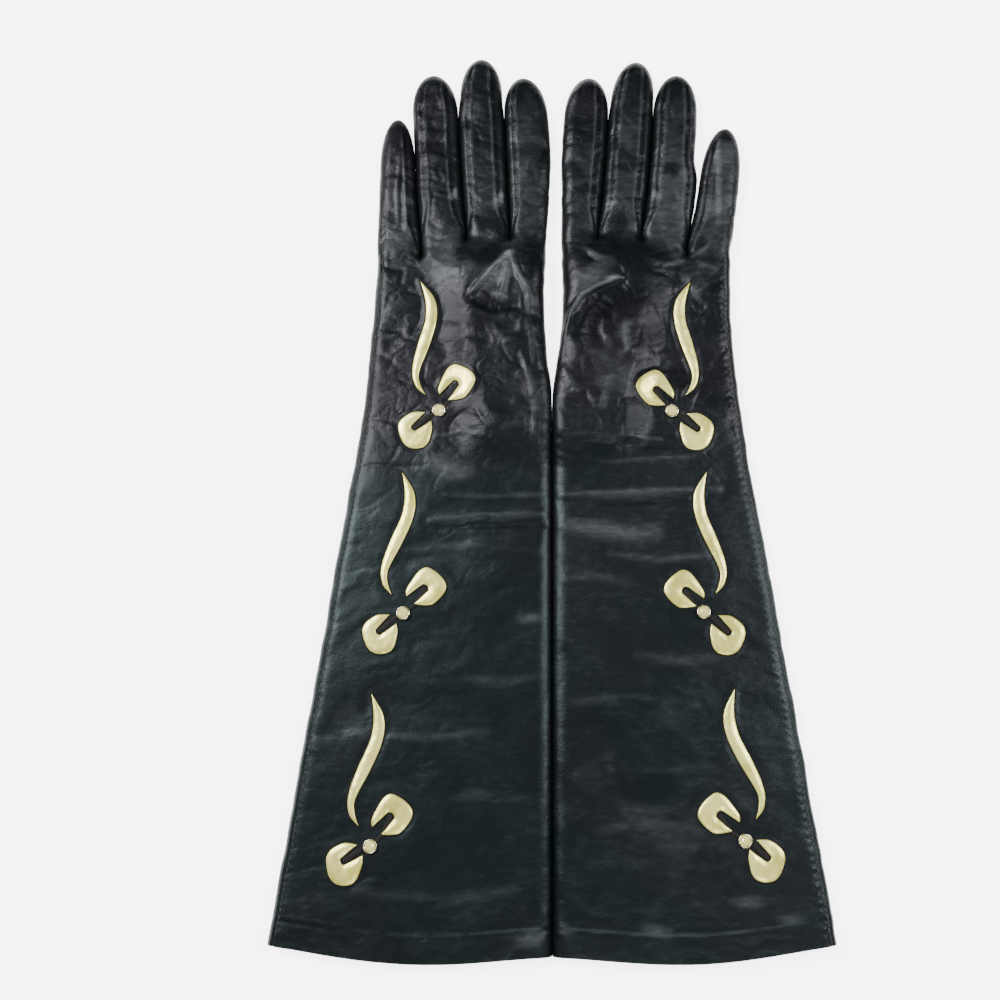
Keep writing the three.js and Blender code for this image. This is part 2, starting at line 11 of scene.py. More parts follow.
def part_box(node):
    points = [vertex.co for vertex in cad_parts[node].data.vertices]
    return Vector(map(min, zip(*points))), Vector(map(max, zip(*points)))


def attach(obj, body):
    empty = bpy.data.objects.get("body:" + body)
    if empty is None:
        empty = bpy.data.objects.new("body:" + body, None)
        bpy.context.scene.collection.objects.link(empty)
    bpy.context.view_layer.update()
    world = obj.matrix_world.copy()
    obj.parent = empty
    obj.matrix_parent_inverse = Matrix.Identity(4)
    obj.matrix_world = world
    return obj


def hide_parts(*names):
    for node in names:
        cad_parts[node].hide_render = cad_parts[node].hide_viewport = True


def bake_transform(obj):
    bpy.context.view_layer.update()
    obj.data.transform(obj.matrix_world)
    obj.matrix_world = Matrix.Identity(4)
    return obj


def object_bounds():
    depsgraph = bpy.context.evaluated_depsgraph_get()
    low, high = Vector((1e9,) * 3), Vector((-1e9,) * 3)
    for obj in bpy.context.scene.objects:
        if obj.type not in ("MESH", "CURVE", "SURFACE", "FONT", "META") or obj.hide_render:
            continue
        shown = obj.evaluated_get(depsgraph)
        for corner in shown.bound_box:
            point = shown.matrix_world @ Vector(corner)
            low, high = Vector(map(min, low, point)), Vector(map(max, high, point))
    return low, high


MM = 0.001

# A glove is worked out in its own plan, in millimetres: x outwards from the line between the two
# gloves, y up from the lowest point of the cuff, z up from the table.
ROW_STEP = 1.1
SIDE_REACH, FINGER_REACH, THUMB_REACH = 7.5, 6.0, 5.0  # how far in the rounding of a side reaches
FORK_FADE = 6.0  # a fork between two fingers starts as a shallow valley this far below it
FORK_DROP = {"index": 2.0, "middle": 3.0, "ring": 11.5, "little": 1.0}  # below the bending line
KNUCKLE_DROP = 0.5  # the body's last row lies this far below the lowest fork
TIP_LENGTH = {"index": 22.0, "middle": 22.0, "ring": 22.0, "little": 28.0}
TIP_STRETCH = 1.03
TIP_THIN = 4.0
TIP_ROWS = 20
FINGERS = ["index", "middle", "ring", "little"]
FOURCHETTE = (1.5, 5.0, 16.0)  # width at the fork, full width, and the length over which it widens
FOURCHETTE_END = 7.0
PILLOW = 0.13  # how much thinner a tube gets towards its sides
LIFT_MARGIN, LIFT_FADE, BACK_FADE = 2.5, 12.0, 20.0  # how the lift over the thumb fades out
LIFT_ALONG = 0.25  # the share of a wider fade that also holds along the glove
PALM_GAP = 0.5  # between the folded thumb and the palm over it
FOLD_RADIUS = 0.75  # of the skin where it turns in at the cuff
HEM_DEPTH = 12.0
SKIN = 0.8
LINING_DEPTH = 120.0
WRIST_BLEND = (-5.0, 7.0)
FINGER_BLEND = 14.0
MOST_PAINTED_LIGHT = 1.6
PALM_FOLDS = 0.4  # the share of the folds that the flat palm side shows
SIDE_PAINTED_SHADE = 0.65  # how much painted shade darkens the sides of each tube
SLOPE_PAINTED_SHADE = 0.425  # painted shade on the sides of the lift over the thumb, dimming the highlight the lamps put there
SLEEVE_GRAIN, HEM_GRAIN = 0.55, 0.25  # how finely wrinkled the leather is, where 1 is the hand
LOWEST = 0.02  # no skin goes below this, as the table is at 0


# ---- Numbers and noise ----


def smooth(low, high, value):
    t = np.clip((value - low) / (high - low), 0, 1)
    return t * t * (3 - 2 * t)


def lerp(a, b, t):
    return a + (b - a) * t


def noise(x, y, seed):
    """Smooth noise from -1 to 1 with one bump per unit."""
    table = np.random.default_rng(seed).uniform(-1, 1, (64, 64))
    xi, yi = np.floor(x).astype(int), np.floor(y).astype(int)
    fx, fy = x - xi, y - yi
    u, v = fx**3 * (fx * (fx * 6 - 15) + 10), fy**3 * (fy * (fy * 6 - 15) + 10)
    at = lambda i, j: table[(xi + i) % 64, (yi + j) % 64]
    return lerp(lerp(at(0, 0), at(1, 0), u), lerp(at(0, 1), at(1, 1), u), v)


def creases(x, y, seed, sharp):
    """Thin lines, 1 on the line and 0 away from it."""
    return np.exp(-((noise(x, y, seed) / sharp) ** 2))


def bell(distance, width):
    """1 on a line, falling to 0 at about twice the width from it."""
    return np.exp(-((distance / width) ** 2))


def polyline_distance(x, y, points):
    """Distance to a polyline, and how far along it the nearest point is, from 0 to 1."""
    points = np.array(points, float)
    lengths = np.hypot(*np.diff(points, axis=0).T)
    before = np.concatenate([[0], np.cumsum(lengths)])
    best = np.full(np.shape(x), 1e9)
    along = np.zeros(np.shape(x))
    for (ax, ay), (bx, by), start, length in zip(points[:-1], points[1:], before, lengths):
        t = np.clip(((x - ax) * (bx - ax) + (y - ay) * (by - ay)) / length**2, 0, 1)
        d = np.hypot(x - lerp(ax, bx, t), y - lerp(ay, by, t))
        nearer = d < best
        best = np.where(nearer, d, best)
        along = np.where(nearer, (start + t * length) / before[-1], along)
    return best, along


# ---- The folds of each glove ----

# Each stroke has its half width, its height (below 0 for a crease), its painted light (a painted
# highlight from 0 up to the most allowed, or painted shade below 0; the few by the cuff are
# scuffs), and its points in the glove's plan.
LEFT_STROKES = [
    (4.6, 0.3, 0.62, (26, 336), (31, 327)),
    (2.8, 0.3, 0.5, (19, 333), (15, 324)),
    (1.1, 0.9, 1.0, (22, 344), (31, 334), (40.5, 322.5)),
    (1.9, 0.7, 0.75, (22.3, 343), (23, 332), (25.5, 320.5)),
    (1.1, 0.8, 0.85, (21.5, 344), (17, 332), (11.5, 322), (10.8, 312)),
    (2.0, 0.6, 0.75, (27.5, 321), (24, 318.6)),
    (1.4, 0.4, 1.6, (20.6, 344.5), (23, 343)),
    (2.4, -0.7, -0.8, (41, 318.5), (30, 313.5), (18, 314.5)),
    (5.0, -0.2, -0.4, (36, 309), (20, 306)),
    (6.5, 0.35, 0.3, (62, 339), (48, 335), (36, 337)),
    (5.0, 0.1, 0.12, (58, 329), (46, 327)),
    (13.0, 0.0, -0.4, (72, 318), (77, 285), (80, 252)),
    (9.0, 0.0, -0.6, (42, 312), (44, 290), (45, 262)),
    (3.0, 0.0, -0.25, (46, 345), (47, 333)),
    (3.5, -0.2, -0.6, (10, 350), (7, 336)),
    (1.6, 0.15, 0.7, (43.4, 306), (43.2, 297), (44, 286)),
    (1.8, 0.3, 0.45, (73, 303), (80, 300), (86, 298)),
    (1.4, 0.2, 0.3, (72, 297), (79, 292)),
    (1.3, 0.4, 0.4, (12, 312), (9, 296), (7.5, 284)),
    (1.8, 0.3, 0.3, (28, 303), (24, 296), (17, 297)),
    (1.2, 0.35, 0.4, (15, 289), (10, 275), (8, 262)),
    (1.1, 0.35, 0.45, (7.5, 262), (8.5, 247), (7, 236)),
    (1.0, 0.3, 0.4, (38, 262), (35, 256), (31, 252)),
    (0.9, 0.25, 0.4, (60, 247), (45, 250), (27, 245)),
    (0.7, -0.35, 0.0, (92, 233), (78, 232), (62, 232.5)),
    (4.5, 0.45, 0.55, (58, 235), (50, 231), (41, 229)),
    (1.3, 0.24, 0.3, (52, 218), (30, 217), (3, 218.5)),
    (1.6, 0.4, 0.38, (59, 205.5), (35, 208), (3, 209)),
    (1.6, -0.5, 0.0, (55, 201.5), (30, 203.5), (3, 204)),
    (2.0, 0.16, 0.19, (70, 190), (40, 193), (8, 190)),
    (2.2, 0.25, 0.5, (14, 157), (6, 158)),
    (2.2, 0.16, 0.19, (8, 130), (24, 127), (40, 129)),
    (1.8, 0.14, 0.15, (30, 104), (60, 101), (95, 104)),
    (2.0, 0.14, 0.15, (10, 74), (35, 76), (60, 73)),
    (2.0, 0.14, 0.15, (15, 34), (50, 30), (90, 33)),
    (2.5, 0.2, 0.5, (4, 13), (14, 12)),
    (1.7, 0.55, 1.6, (49, 380), (51, 376)),
    (1.9, 0.55, 1.5, (25, 378), (28, 373)),
    (1.0, 0.35, 0.6, (75, 402), (75.6, 380), (75, 357)),
    (0.9, 0.25, 0.35, (79, 399), (80, 378), (79, 360)),
]
RIGHT_STROKES = [
    (1.2, 1.1, 1.0, (35, 329.5), (24, 325.5), (15.2, 320.5), (9, 311), (5.6, 299), (4.4, 288)),
    (3.2, -0.9, -0.8, (34, 325), (25, 320), (17, 311), (13, 300)),
    (7.5, -0.2, -0.9, (40, 322), (29, 315), (21, 303)),
    (5.0, 0.4, 0.75, (27, 338), (21, 333), (16, 326)),
    (1.5, 0.3, 1.3, (33, 330), (28, 328)),
    (3.0, 0.2, 0.3, (10, 340), (8, 325), (5, 310)),
    (1.5, 0.4, 0.75, (16, 347), (23, 342), (26, 340)),
    (6.0, -0.2, -0.5, (44, 338), (52, 327)),
    (3.0, -0.1, -0.4, (60, 310), (62, 296)),
    (1.6, 0.12, 0.6, (47.6, 298), (47.4, 291), (46, 283)),
    (1.6, 0.35, 0.45, (26.6, 308), (26, 301), (28, 294)),
    (1.7, 0.35, 0.45, (38, 307), (37, 300), (39, 292)),
    (1.5, 0.3, 0.3, (42, 287), (38, 277), (36, 268)),
    (1.6, 0.25, 0.4, (27, 271), (25, 262)),
    (1.2, 0.3, 0.45, (4, 283), (9, 277), (12, 270)),
    (1.6, 0.35, 0.45, (66, 333), (71, 326), (78, 314)),
    (1.0, 0.25, 0.3, (70, 319), (77, 307)),
    (0.9, 0.3, 0.4, (71, 343), (61, 352)),
    (0.9, 0.3, 0.4, (72, 343), (81, 350)),
    (1.0, 0.3, 0.35, (70, 341), (56, 338), (46, 341)),
    (1.0, 0.25, 0.35, (74, 340), (84, 336)),
    (0.8, 0.35, 0.5, (3, 251), (14, 249), (30, 247.5), (54, 246.5)),
    (1.5, -0.4, 0.0, (3, 246), (25, 243), (60, 243)),
    (1.0, 0.25, 0.3, (3, 238), (30, 235), (70, 238)),
    (1.4, 0.36, 0.45, (3, 218.5), (30, 219), (55, 220.5), (82, 221.5)),
    (1.6, -0.45, 0.0, (3, 214.5), (30, 214.5), (75, 217)),
    (3.6, 0.4, 0.55, (4, 203), (19, 202), (36, 199), (50, 199.5)),
    (1.6, 0.2, 0.3, (28, 189), (52, 186), (80, 189)),
    (2.0, 0.16, 0.22, (5, 176), (20, 178), (36, 175)),
    (2.0, 0.16, 0.19, (40, 140), (64, 137), (86, 141)),
    (2.0, 0.16, 0.19, (10, 118), (38, 121), (66, 117)),
    (1.8, 0.14, 0.15, (25, 88), (52, 86), (70, 89)),
    (1.8, 0.14, 0.15, (20, 60), (50, 63), (74, 60)),
    (2.4, 0.2, 0.5, (1, 17), (8, 16)),
    (2.2, 0.2, 0.4, (42, 17), (52, 15)),
    (2.2, 0.2, 0.4, (82, 29), (94, 28)),
    (2.0, 0.2, 0.35, (104, 21), (113, 21)),
    (1.4, 0.55, 1.6, (32, 372.5), (26.5, 372)),
    (1.8, 0.55, 1.6, (49, 383), (54, 376.5)),
    (1.1, 0.35, 0.65, (87, 413), (86.4, 390), (85.5, 362)),
]
STRONG = 0.25  # a stroke higher than this has a shallow hollow beside it


# ---- Reading the frame ----

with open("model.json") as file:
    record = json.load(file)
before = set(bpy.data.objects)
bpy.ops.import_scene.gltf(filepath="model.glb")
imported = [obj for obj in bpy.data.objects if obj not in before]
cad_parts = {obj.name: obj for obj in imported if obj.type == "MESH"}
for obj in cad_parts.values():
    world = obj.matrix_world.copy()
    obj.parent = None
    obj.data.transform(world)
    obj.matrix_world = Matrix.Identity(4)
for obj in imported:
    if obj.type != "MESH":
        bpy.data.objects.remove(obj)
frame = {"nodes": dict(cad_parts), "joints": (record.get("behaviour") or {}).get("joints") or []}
frame_low, frame_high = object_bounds()
joints = {joint["name"]: joint for joint in frame["joints"]}


class Outline:
    """The two sides of some CAD nodes of one glove, as smooth functions of y."""

    def __init__(self, edges, low, high, blur=4.0):
        ys = np.linspace(low, high, max(8, int((high - low) / 1.5)))
        found, sides = [], []
        for y in ys:
            a, b = edges[:, 0], edges[:, 1]
            crosses = (a[:, 1] - y) * (b[:, 1] - y) < 0
            if crosses.any():
                a, b = a[crosses], b[crosses]
                xs = lerp(a[:, 0], b[:, 0], (y - a[:, 1]) / (b[:, 1] - a[:, 1]))
                found.append(y)
                sides.append((xs.min(), xs.max()))
        sides = [np.interp(ys, found, side) for side in np.array(sides).T]
        self.ys = ys
        self.sides = [self.blurred(side, ys[1] - ys[0], blur) for side in sides]

    @staticmethod
    def blurred(values, step, blur):
        reach = int(3 * blur / step)
        pad = np.arange(1, reach + 1)
        before = values[0] - (values[1] - values[0]) * pad[::-1]
        after = values[-1] + (values[-1] - values[-2]) * pad
        padded = np.concatenate([before, values, after])
        kernel = np.exp(-0.5 * (np.arange(-reach, reach + 1) * step / blur) ** 2)
        return np.convolve(padded, kernel / kernel.sum(), "valid")

    def at(self, y, side):
        values, ys = self.sides[side], self.ys
        inside = np.interp(y, ys, values)
        slope_low = (values[3] - values[0]) / (ys[3] - ys[0])
        slope_high = (values[-1] - values[-4]) / (ys[-1] - ys[-4])
        below, above = np.minimum(y - ys[0], 0), np.maximum(y - ys[-1], 0)
        return inside + slope_low * below + slope_high * above


class Glove:
    """One glove's measures, read from the frame, and its surface."""

    def __init__(self, name):
        self.name = name
        self.side = -1 if name == "left" else 1
        self.strokes = LEFT_STROKES if name == "left" else RIGHT_STROKES
        self.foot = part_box(f"{name}_sleeve_trank")[0].y / MM
        self.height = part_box(f"{name}_sleeve_trank")[1].z / MM
        self.wrist = self.plan_y(joints[f"{name}_wrist_bend"]["pos_m"][1])
        self.hinge = {f: self.plan_y(joints[f"{name}_{f}_bend"]["pos_m"][1]) for f in FINGERS}
        self.top = {f: self.plan_y(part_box(f"{name}_{f}_trank")[1].y) for f in FINGERS}
        self.knuckle = min(self.hinge[f] - FORK_DROP[f] for f in FINGERS) - KNUCKLE_DROP
        body = np.vstack([self.edges("sleeve_trank"), self.edges("hand_trank")])
        self.body = Outline(body, 14.0, self.hinge["little"] - 1.5)
        self.finger = {f: self.finger_outline(f) for f in FINGERS}
        self.forks = self.find_forks()
        self.read_cuff()
        self.read_thumb()
        self.bow_masks = []

    def plan_y(self, y_m):
        return y_m / MM - self.foot

    def points(self, node):
        data = frame["nodes"][f"{self.name}_{node}"].data
        co = np.array([v.co for v in data.vertices], float) / MM
        return np.column_stack([co[:, 0] * self.side, co[:, 1] - self.foot, co[:, 2]])

    def edges(self, node):
        data = frame["nodes"][f"{self.name}_{node}"].data
        pairs = np.array([e.vertices[:] for e in data.edges])
        return self.points(node)[pairs]

    def strips(self, finger):
        """The sides of a finger that have a fourchette, as (side number, node name)."""
        found = []
        if finger != "index":
            found.append((0, f"{finger}_fourchette_inner"))
        if finger != "little":
            found.append((1, f"{finger}_fourchette_outer"))
        return found

    def finger_outline(self, finger):
        nodes = [f"{finger}_trank"] + [node for _, node in self.strips(finger)]
        edges = np.vstack([self.edges(node) for node in nodes])
        straight = self.top[finger] - TIP_LENGTH[finger]
        return Outline(edges, self.hinge[finger] + 5.0, straight, 3.0)

    def find_forks(self):
        """The x and y of each fork."""
        forks = []
        for a, b in zip(FINGERS[:-1], FINGERS[1:]):
            ya, yb = self.hinge[a] + 1, self.hinge[b] + 1
            x = (self.finger[a].at(ya, 1) + self.finger[b].at(yb, 0)) / 2
            forks.append((float(x), self.hinge[a] - FORK_DROP[a]))
        return forks

    def read_cuff(self):
        """The cuff's curved edge, as a polynomial through the lowest point at each x."""
        points = self.points("sleeve_trank")
        lowest = {}
        for x, y, _ in points[points[:, 1] < HEM_DEPTH]:
            key = round(x, 1)
            lowest[key] = min(lowest.get(key, y), y)
        xs = np.array(sorted(lowest))
        self.cuff_fit = np.polyfit(xs, [lowest[x] for x in xs], 4)
        self.cuff_span = (xs[0], xs[-1])

    def cuff(self, x):
        return np.polyval(self.cuff_fit, np.clip(x, *self.cuff_span))

    def read_thumb(self):
        points = self.points("thumb")
        self.thumb_base, self.thumb_tip = points[:, 1].min(), points[:, 1].max()
        self.thumb_height = points[:, 2].max()
        ys = [self.thumb_base + 2, self.thumb_tip - TIP_LENGTH["index"]]
        self.thumb = Outline(self.edges("thumb"), *ys, 3.0)
        self.palm_lift = self.thumb_height + PALM_GAP
        self.back_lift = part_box(f"{self.name}_hand_trank")[1].z / MM - self.height

    def lift(self, x, y, fade=LIFT_FADE):
        """How much of the full lift over the folded thumb reaches each point."""
        low, high = self.thumb_base - self.thumb_height - 3, self.thumb_tip
        along = np.clip(y, low, high)
        left, right = self.thumb.at(along, 0), self.thumb.at(along, 1)
        across = np.maximum(np.maximum(left - x, x - right), 0)
        stretch = lerp(LIFT_FADE, fade, LIFT_ALONG) / LIFT_FADE
        distance = np.hypot(across, (y - along) / stretch)
        return 1 - smooth(LIFT_MARGIN, LIFT_MARGIN + fade, distance)

    def wobble(self, y, side):
        seed = (3 if self.side > 0 else 5) + side
        return 0.28 * noise(y / 13, y * 0 + 7, seed) + 0.16 * noise(y / 5, y * 0 + 3, seed + 20)

    def body_side(self, y, side):
        """The two sleeves lie against each other along their inner sides."""
        own = self.body.at(y, side)
        if side == 0:
            touching = 1 - smooth(self.wrist + 26, self.wrist + 48, y)
            wobble = self.wobble(y, side)
            return lerp(own + wobble, 0.0, touching)
        return own + self.wobble(y, side)

    def finger_side(self, finger, y, side):
        """The side of a finger: the hand's own side or the fork's line below the fork."""
        i = FINGERS.index(finger)
        own = self.finger[finger].at(np.maximum(y, self.hinge[finger]), side)
        number = i - 1 + side
        if 0 <= number < len(self.forks):
            x, fork = self.forks[number]
            own = self.closed_up(finger, own + self.wobble(y, side) * 0.6, y, side)
            return lerp(x, own, smooth(fork - 1, fork + 9, y))
        free = self.body_side(y, side)
        hinge = self.hinge[finger]
        return lerp(free, own + self.wobble(y, side), smooth(hinge - 14, hinge + 8, y))

    def closed_up(self, finger, own, y, side):
        """The fourchettes of neighbouring fingers bulge until they meet, where they are close."""
        other = FINGERS[FINGERS.index(finger) - 1 + 2 * side]
        facing = self.finger[other].at(np.maximum(y, self.hinge[other]), 1 - side)
        facing = facing + self.wobble(y, 1 - side) * 0.6
        gap = (facing - own) * (2 * side - 1)
        reach = min(self.top[finger] - TIP_LENGTH[finger], self.top[other] - TIP_LENGTH[other])
        share = (1 - smooth(4.2, 11.5, gap)) * (1 - smooth(reach - 2, reach + 12, y))
        return own + (2 * side - 1) * share * np.maximum(gap / 2, 0)

    def valley(self, number, y, half):
        """Half the thickness that is left at a fork's line."""
        fork = self.forks[number][1]
        return half * (1 - smooth(fork - FORK_FADE, fork, y) ** 1.5)

    def relief(self, x, y, under=False):
        """The height of the folds and creases, and their painted highlights and painted shade, with
        a few scuffs.
        """
        seed = 40 if self.side > 0 else 70
        on_hand = smooth(self.wrist - 20, self.wrist + 20, y)
        on_finger = smooth(self.knuckle - 4, self.knuckle + 14, y)
        # The noise is read at bent places, or its bumps would stand in rows.
        u = x + 0.3 * y + 3.0 * noise(x / 11, y / 8, seed + 16)
        v = y - 0.25 * x * on_hand + 2.6 * noise(x / 9, y / 10, seed + 17)
        height = self.folds(u, v, on_hand, on_finger, seed)
        rub = self.painted_sheen_and_shade(u, v, on_hand, on_finger, seed)
        lift = self.lift(x, y, BACK_FADE)
        slope = 4 * lift * (1 - lift) * (1 - smooth(self.thumb_tip - 12, self.thumb_tip + 2, y))
        # Painted shade on the slopes of the lift over the thumb.
        rub -= SLOPE_PAINTED_SHADE * slope
        if under:
            return height * 0.5, rub
        for width, high, stroke_light, *points in self.strokes:
            d, along = polyline_distance(x, y, points)
            fade = np.sin(np.pi * np.clip(0.12 + 0.76 * along, 0, 1)) ** 0.6
            height += 1.5 * high * bell(d, width) * fade
            # Painted highlight, or painted shade below 0, along each stroke.
            rub += stroke_light * bell(d, width * 1.1) * fade
            if high > STRONG:
                height -= 0.25 * high * bell(d - 2.4 * width, 1.1 * width) * fade
        height += self.seam_relief(x, y)
        flat = self.under_bows(x, y)
        return height * lerp(1, 0.12, flat), np.clip(rub, -1, MOST_PAINTED_LIGHT) * lerp(1, 0.25, flat)

    def folds(self, u, v, on_hand, on_finger, seed):
        """Wide folds, creases across and in all directions, and fine ripples."""
        height = 0.42 * noise(u / 38, v / 19, seed)
        height += lerp(0.16, 0.55, on_hand) * noise(u / 13, v / 10, seed + 1)
        bent = 0.4 * noise(u / 30, v / 30, seed + 9)
        height -= lerp(0.13, 0.1, on_hand) * creases(u / 42, v / 8.5 + bent, seed + 2, 0.16)
        height -= lerp(0.05, 0.26, on_hand) * creases(u / 13, v / 12, seed + 3, 0.17)
        height -= lerp(0.03, 0.15, on_hand) * creases(u / 6, v / 5, seed + 15, 0.2)
        height += 0.05 * noise(u / 17, v / 4.2, seed + 4) * (1 - 0.5 * on_hand)
        height += 0.05 * noise(u / 5, v / 3.6, seed + 5)
        return height - on_finger * 0.2 * creases(u / 26, v / 4.6, seed + 6, 0.3)

    def painted_sheen_and_shade(self, u, v, on_hand, on_finger, seed):
        """Painted highlight patches, wide and small, the fingers' painted sheen, and painted shade
        patches on the hand.
        """
        lit_and_worn, sheen = (1, 0.32) if self.side > 0 else (0.6, 0.13)
        rub = 0.07 * smooth(0.1, 0.9, noise(u / 11, v / 4, seed + 7))
        wide, small = noise(u / 14, v / 14, seed + 8), noise(u / 4.5, v / 3.5, seed + 14)
        rub += lerp(0.1, 0.17 * lit_and_worn, on_hand) * smooth(0.05, 0.8, wide)
        rub += lerp(0.03, 0.16 * lit_and_worn, on_hand) * smooth(0.15, 0.8, small)
        rub += on_finger * (sheen + 0.26 * smooth(0.1, 0.8, noise(u / 6, v / 9, seed + 11)))
        rub *= smooth(-0.5, 0.5, noise(u / 60, v / 40, seed + 12))
        return rub - lerp(0.12, 0.3, on_hand) * smooth(0.1, 0.8, noise(u / 15, v / 11, seed + 13))

    def seam_relief(self, x, y):
        """The outseam's groove, ridge and small puckers, and the hem's stitched line."""
        inside = self.body_side(y, 1) - x
        on = 1 - smooth(self.knuckle + 20, self.knuckle + 30, y)
        line, pucker = (2.2, 0.14) if self.side > 0 else (2.9, 0.05)
        seam = -0.5 * bell(inside - line, 0.45) + 0.25 * bell(inside - line + 1.1, 0.5)
        pulled = pucker * bell(inside - 5.2, 0.9) * np.sin(2 * np.pi * y / 3.8)
        above_hem = y - self.cuff(x) - HEM_DEPTH
        hem = -0.3 * bell(above_hem, 0.6) + 0.14 * bell(above_hem - 1.6, 0.9)
        return (seam + pulled) * on + hem

    def under_bows(self, x, y):
        """1 under and just around an ornament, falling to 0 away from it."""
        flat = np.zeros(np.shape(x))
        for outline in self.bow_masks:
            low, high = outline.min(0) - 4, outline.max(0) + 4
            near = (x > low[0]) & (x < high[0]) & (y > low[1]) & (y < high[1])
            if near.any():
                d, _ = polyline_distance(x[near], y[near], outline)
                inside = inside_of(x[near], y[near], outline)
                flat[near] = np.maximum(flat[near], np.where(inside, 1, 1 - smooth(0.3, 2.6, d)))
        return flat

    def top_of(self, x, y):
        """The back's smooth height under the ornaments, without its folds."""
        left, right = self.body_side(y, 0), self.body_side(y, 1)
        rise = section_rise(x, left, right, SIDE_REACH, 0, 0, self.height / 2)
        dome = pillow(x, left, right) * (1 - smooth(self.knuckle - 25, self.knuckle, y))
        lift = self.back_lift * self.lift(x, y, BACK_FADE)
        return self.height / 2 + rise * (1 - PILLOW * dome) + lift


def inside_of(x, y, outline):
    """Whether each point is inside a closed outline."""
    inside = np.zeros(np.shape(x), bool)
    for (ax, ay), (bx, by) in zip(outline, np.roll(outline, -1, axis=0)):
        crosses = (ay > y) != (by > y)
        if by != ay:
            inside ^= crosses & (x < ax + (y - ay) * (bx - ax) / (by - ay))
    return inside


def section_rise(x, left, right, reach, left_gap, right_gap, half):
    """Half the thickness of a flattened tube at x, rounded at its sides to gaps that stay open."""

    held = np.maximum(np.minimum(reach, (right - left) / 2), 1e-3)

    def side(distance, gap):
        d = np.clip(distance / held, 0, 1)
        return gap + (half - gap) * rounded(d)

    return np.minimum(side(x - left, left_gap), side(right - x, right_gap))


def rounded(share):
    """A quarter circle: 0 where share is 0, and 1 where it is 1."""
    return np.sqrt(1 - (1 - share) ** 2)


def pillow(x, left, right):
    """0 along the middle of a tube and 1 at its sides."""
    half = np.maximum((right - left) / 2, 1e-3)
    return np.clip(np.abs(x - (left + right) / 2) / half, 0, 1) ** 2


# ---- Meshes ----


def grid_normals(points):
    """Normals of a ring grid: rows along the glove, columns round it and closed."""
    along = np.gradient(points, axis=0)
    around = np.roll(points, -1, axis=1) - np.roll(points, 1, axis=1)
    normals = np.cross(around, along)
    length = np.linalg.norm(normals, axis=2, keepdims=True)
    return normals / np.maximum(length, 1e-9)


def mesh_object(name, points, faces, material, glove, normals=None, layers=None):
    """An object from points in a glove's plan. The left glove is mirrored, so its faces turn."""
    points = np.asarray(points, float)
    co = np.column_stack([points[:, 0] * glove.side, points[:, 1] + glove.foot, points[:, 2]]) * MM
    if glove.side < 0:
        faces = [tuple(reversed(face)) for face in faces]
    data = bpy.data.meshes.new(name)
    data.from_pydata(co.tolist(), [], [tuple(map(int, f)) for f in faces])
    for layer, values in (layers or {}).items():
        made = data.attributes.new(layer, "FLOAT", "POINT")
        made.data.foreach_set("value", np.asarray(values, np.float32))
    data.polygons.foreach_set("use_smooth", [True] * len(data.polygons))
    if normals is not None:
        turned = np.asarray(normals) * [glove.side, 1, 1]
        data.normals_split_custom_set_from_vertices(turned.tolist())
    data.materials.append(material)
    data.update()
    made = bpy.data.objects.new(name, data)
    bpy.context.scene.collection.objects.link(made)
    return made


def leather_layers(glove, points, rub):
    """What the leather's shader reads: its painted highlights and painted shade, with a few scuffs,
    and how finely wrinkled it is.
    """
    y = points.reshape(-1, 3)[:, 1]
    grainy = lerp(SLEEVE_GRAIN, 1.0, smooth(glove.wrist - 25, glove.wrist + 25, y))
    return {"rub": rub.ravel(), "grainy": grainy}


def ring_faces(rows, columns, keep=None):
    """The quads of a closed ring grid, or those whose row and column keep() accepts."""
    faces = []
    for r in range(rows - 1):
        for c in range(columns):
            if keep is None or keep(r, c):
                d = (c + 1) % columns
                low, high = r * columns, (r + 1) * columns
                faces.append((low + c, low + d, high + d, high + c))
    return faces


def compact(points, faces, *others):
    """Only the points that the faces use."""
    used = np.unique(np.array(faces).ravel())
    renumber = np.full(len(points), -1)
    renumber[used] = np.arange(len(used))
    return points[used], renumber[np.array(faces)].tolist(), *[o[used] for o in others]


def finished(obj, replaced=(), body=None, blend=None):
    """Bakes a piece that spans a joint into place, or ties it to one body, and hides the CAD parts
    it replaces.
    """
    if blend:
        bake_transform(obj)
    else:
        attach(obj, body)
    if replaced:
        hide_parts(*replaced)


# ---- Materials ----


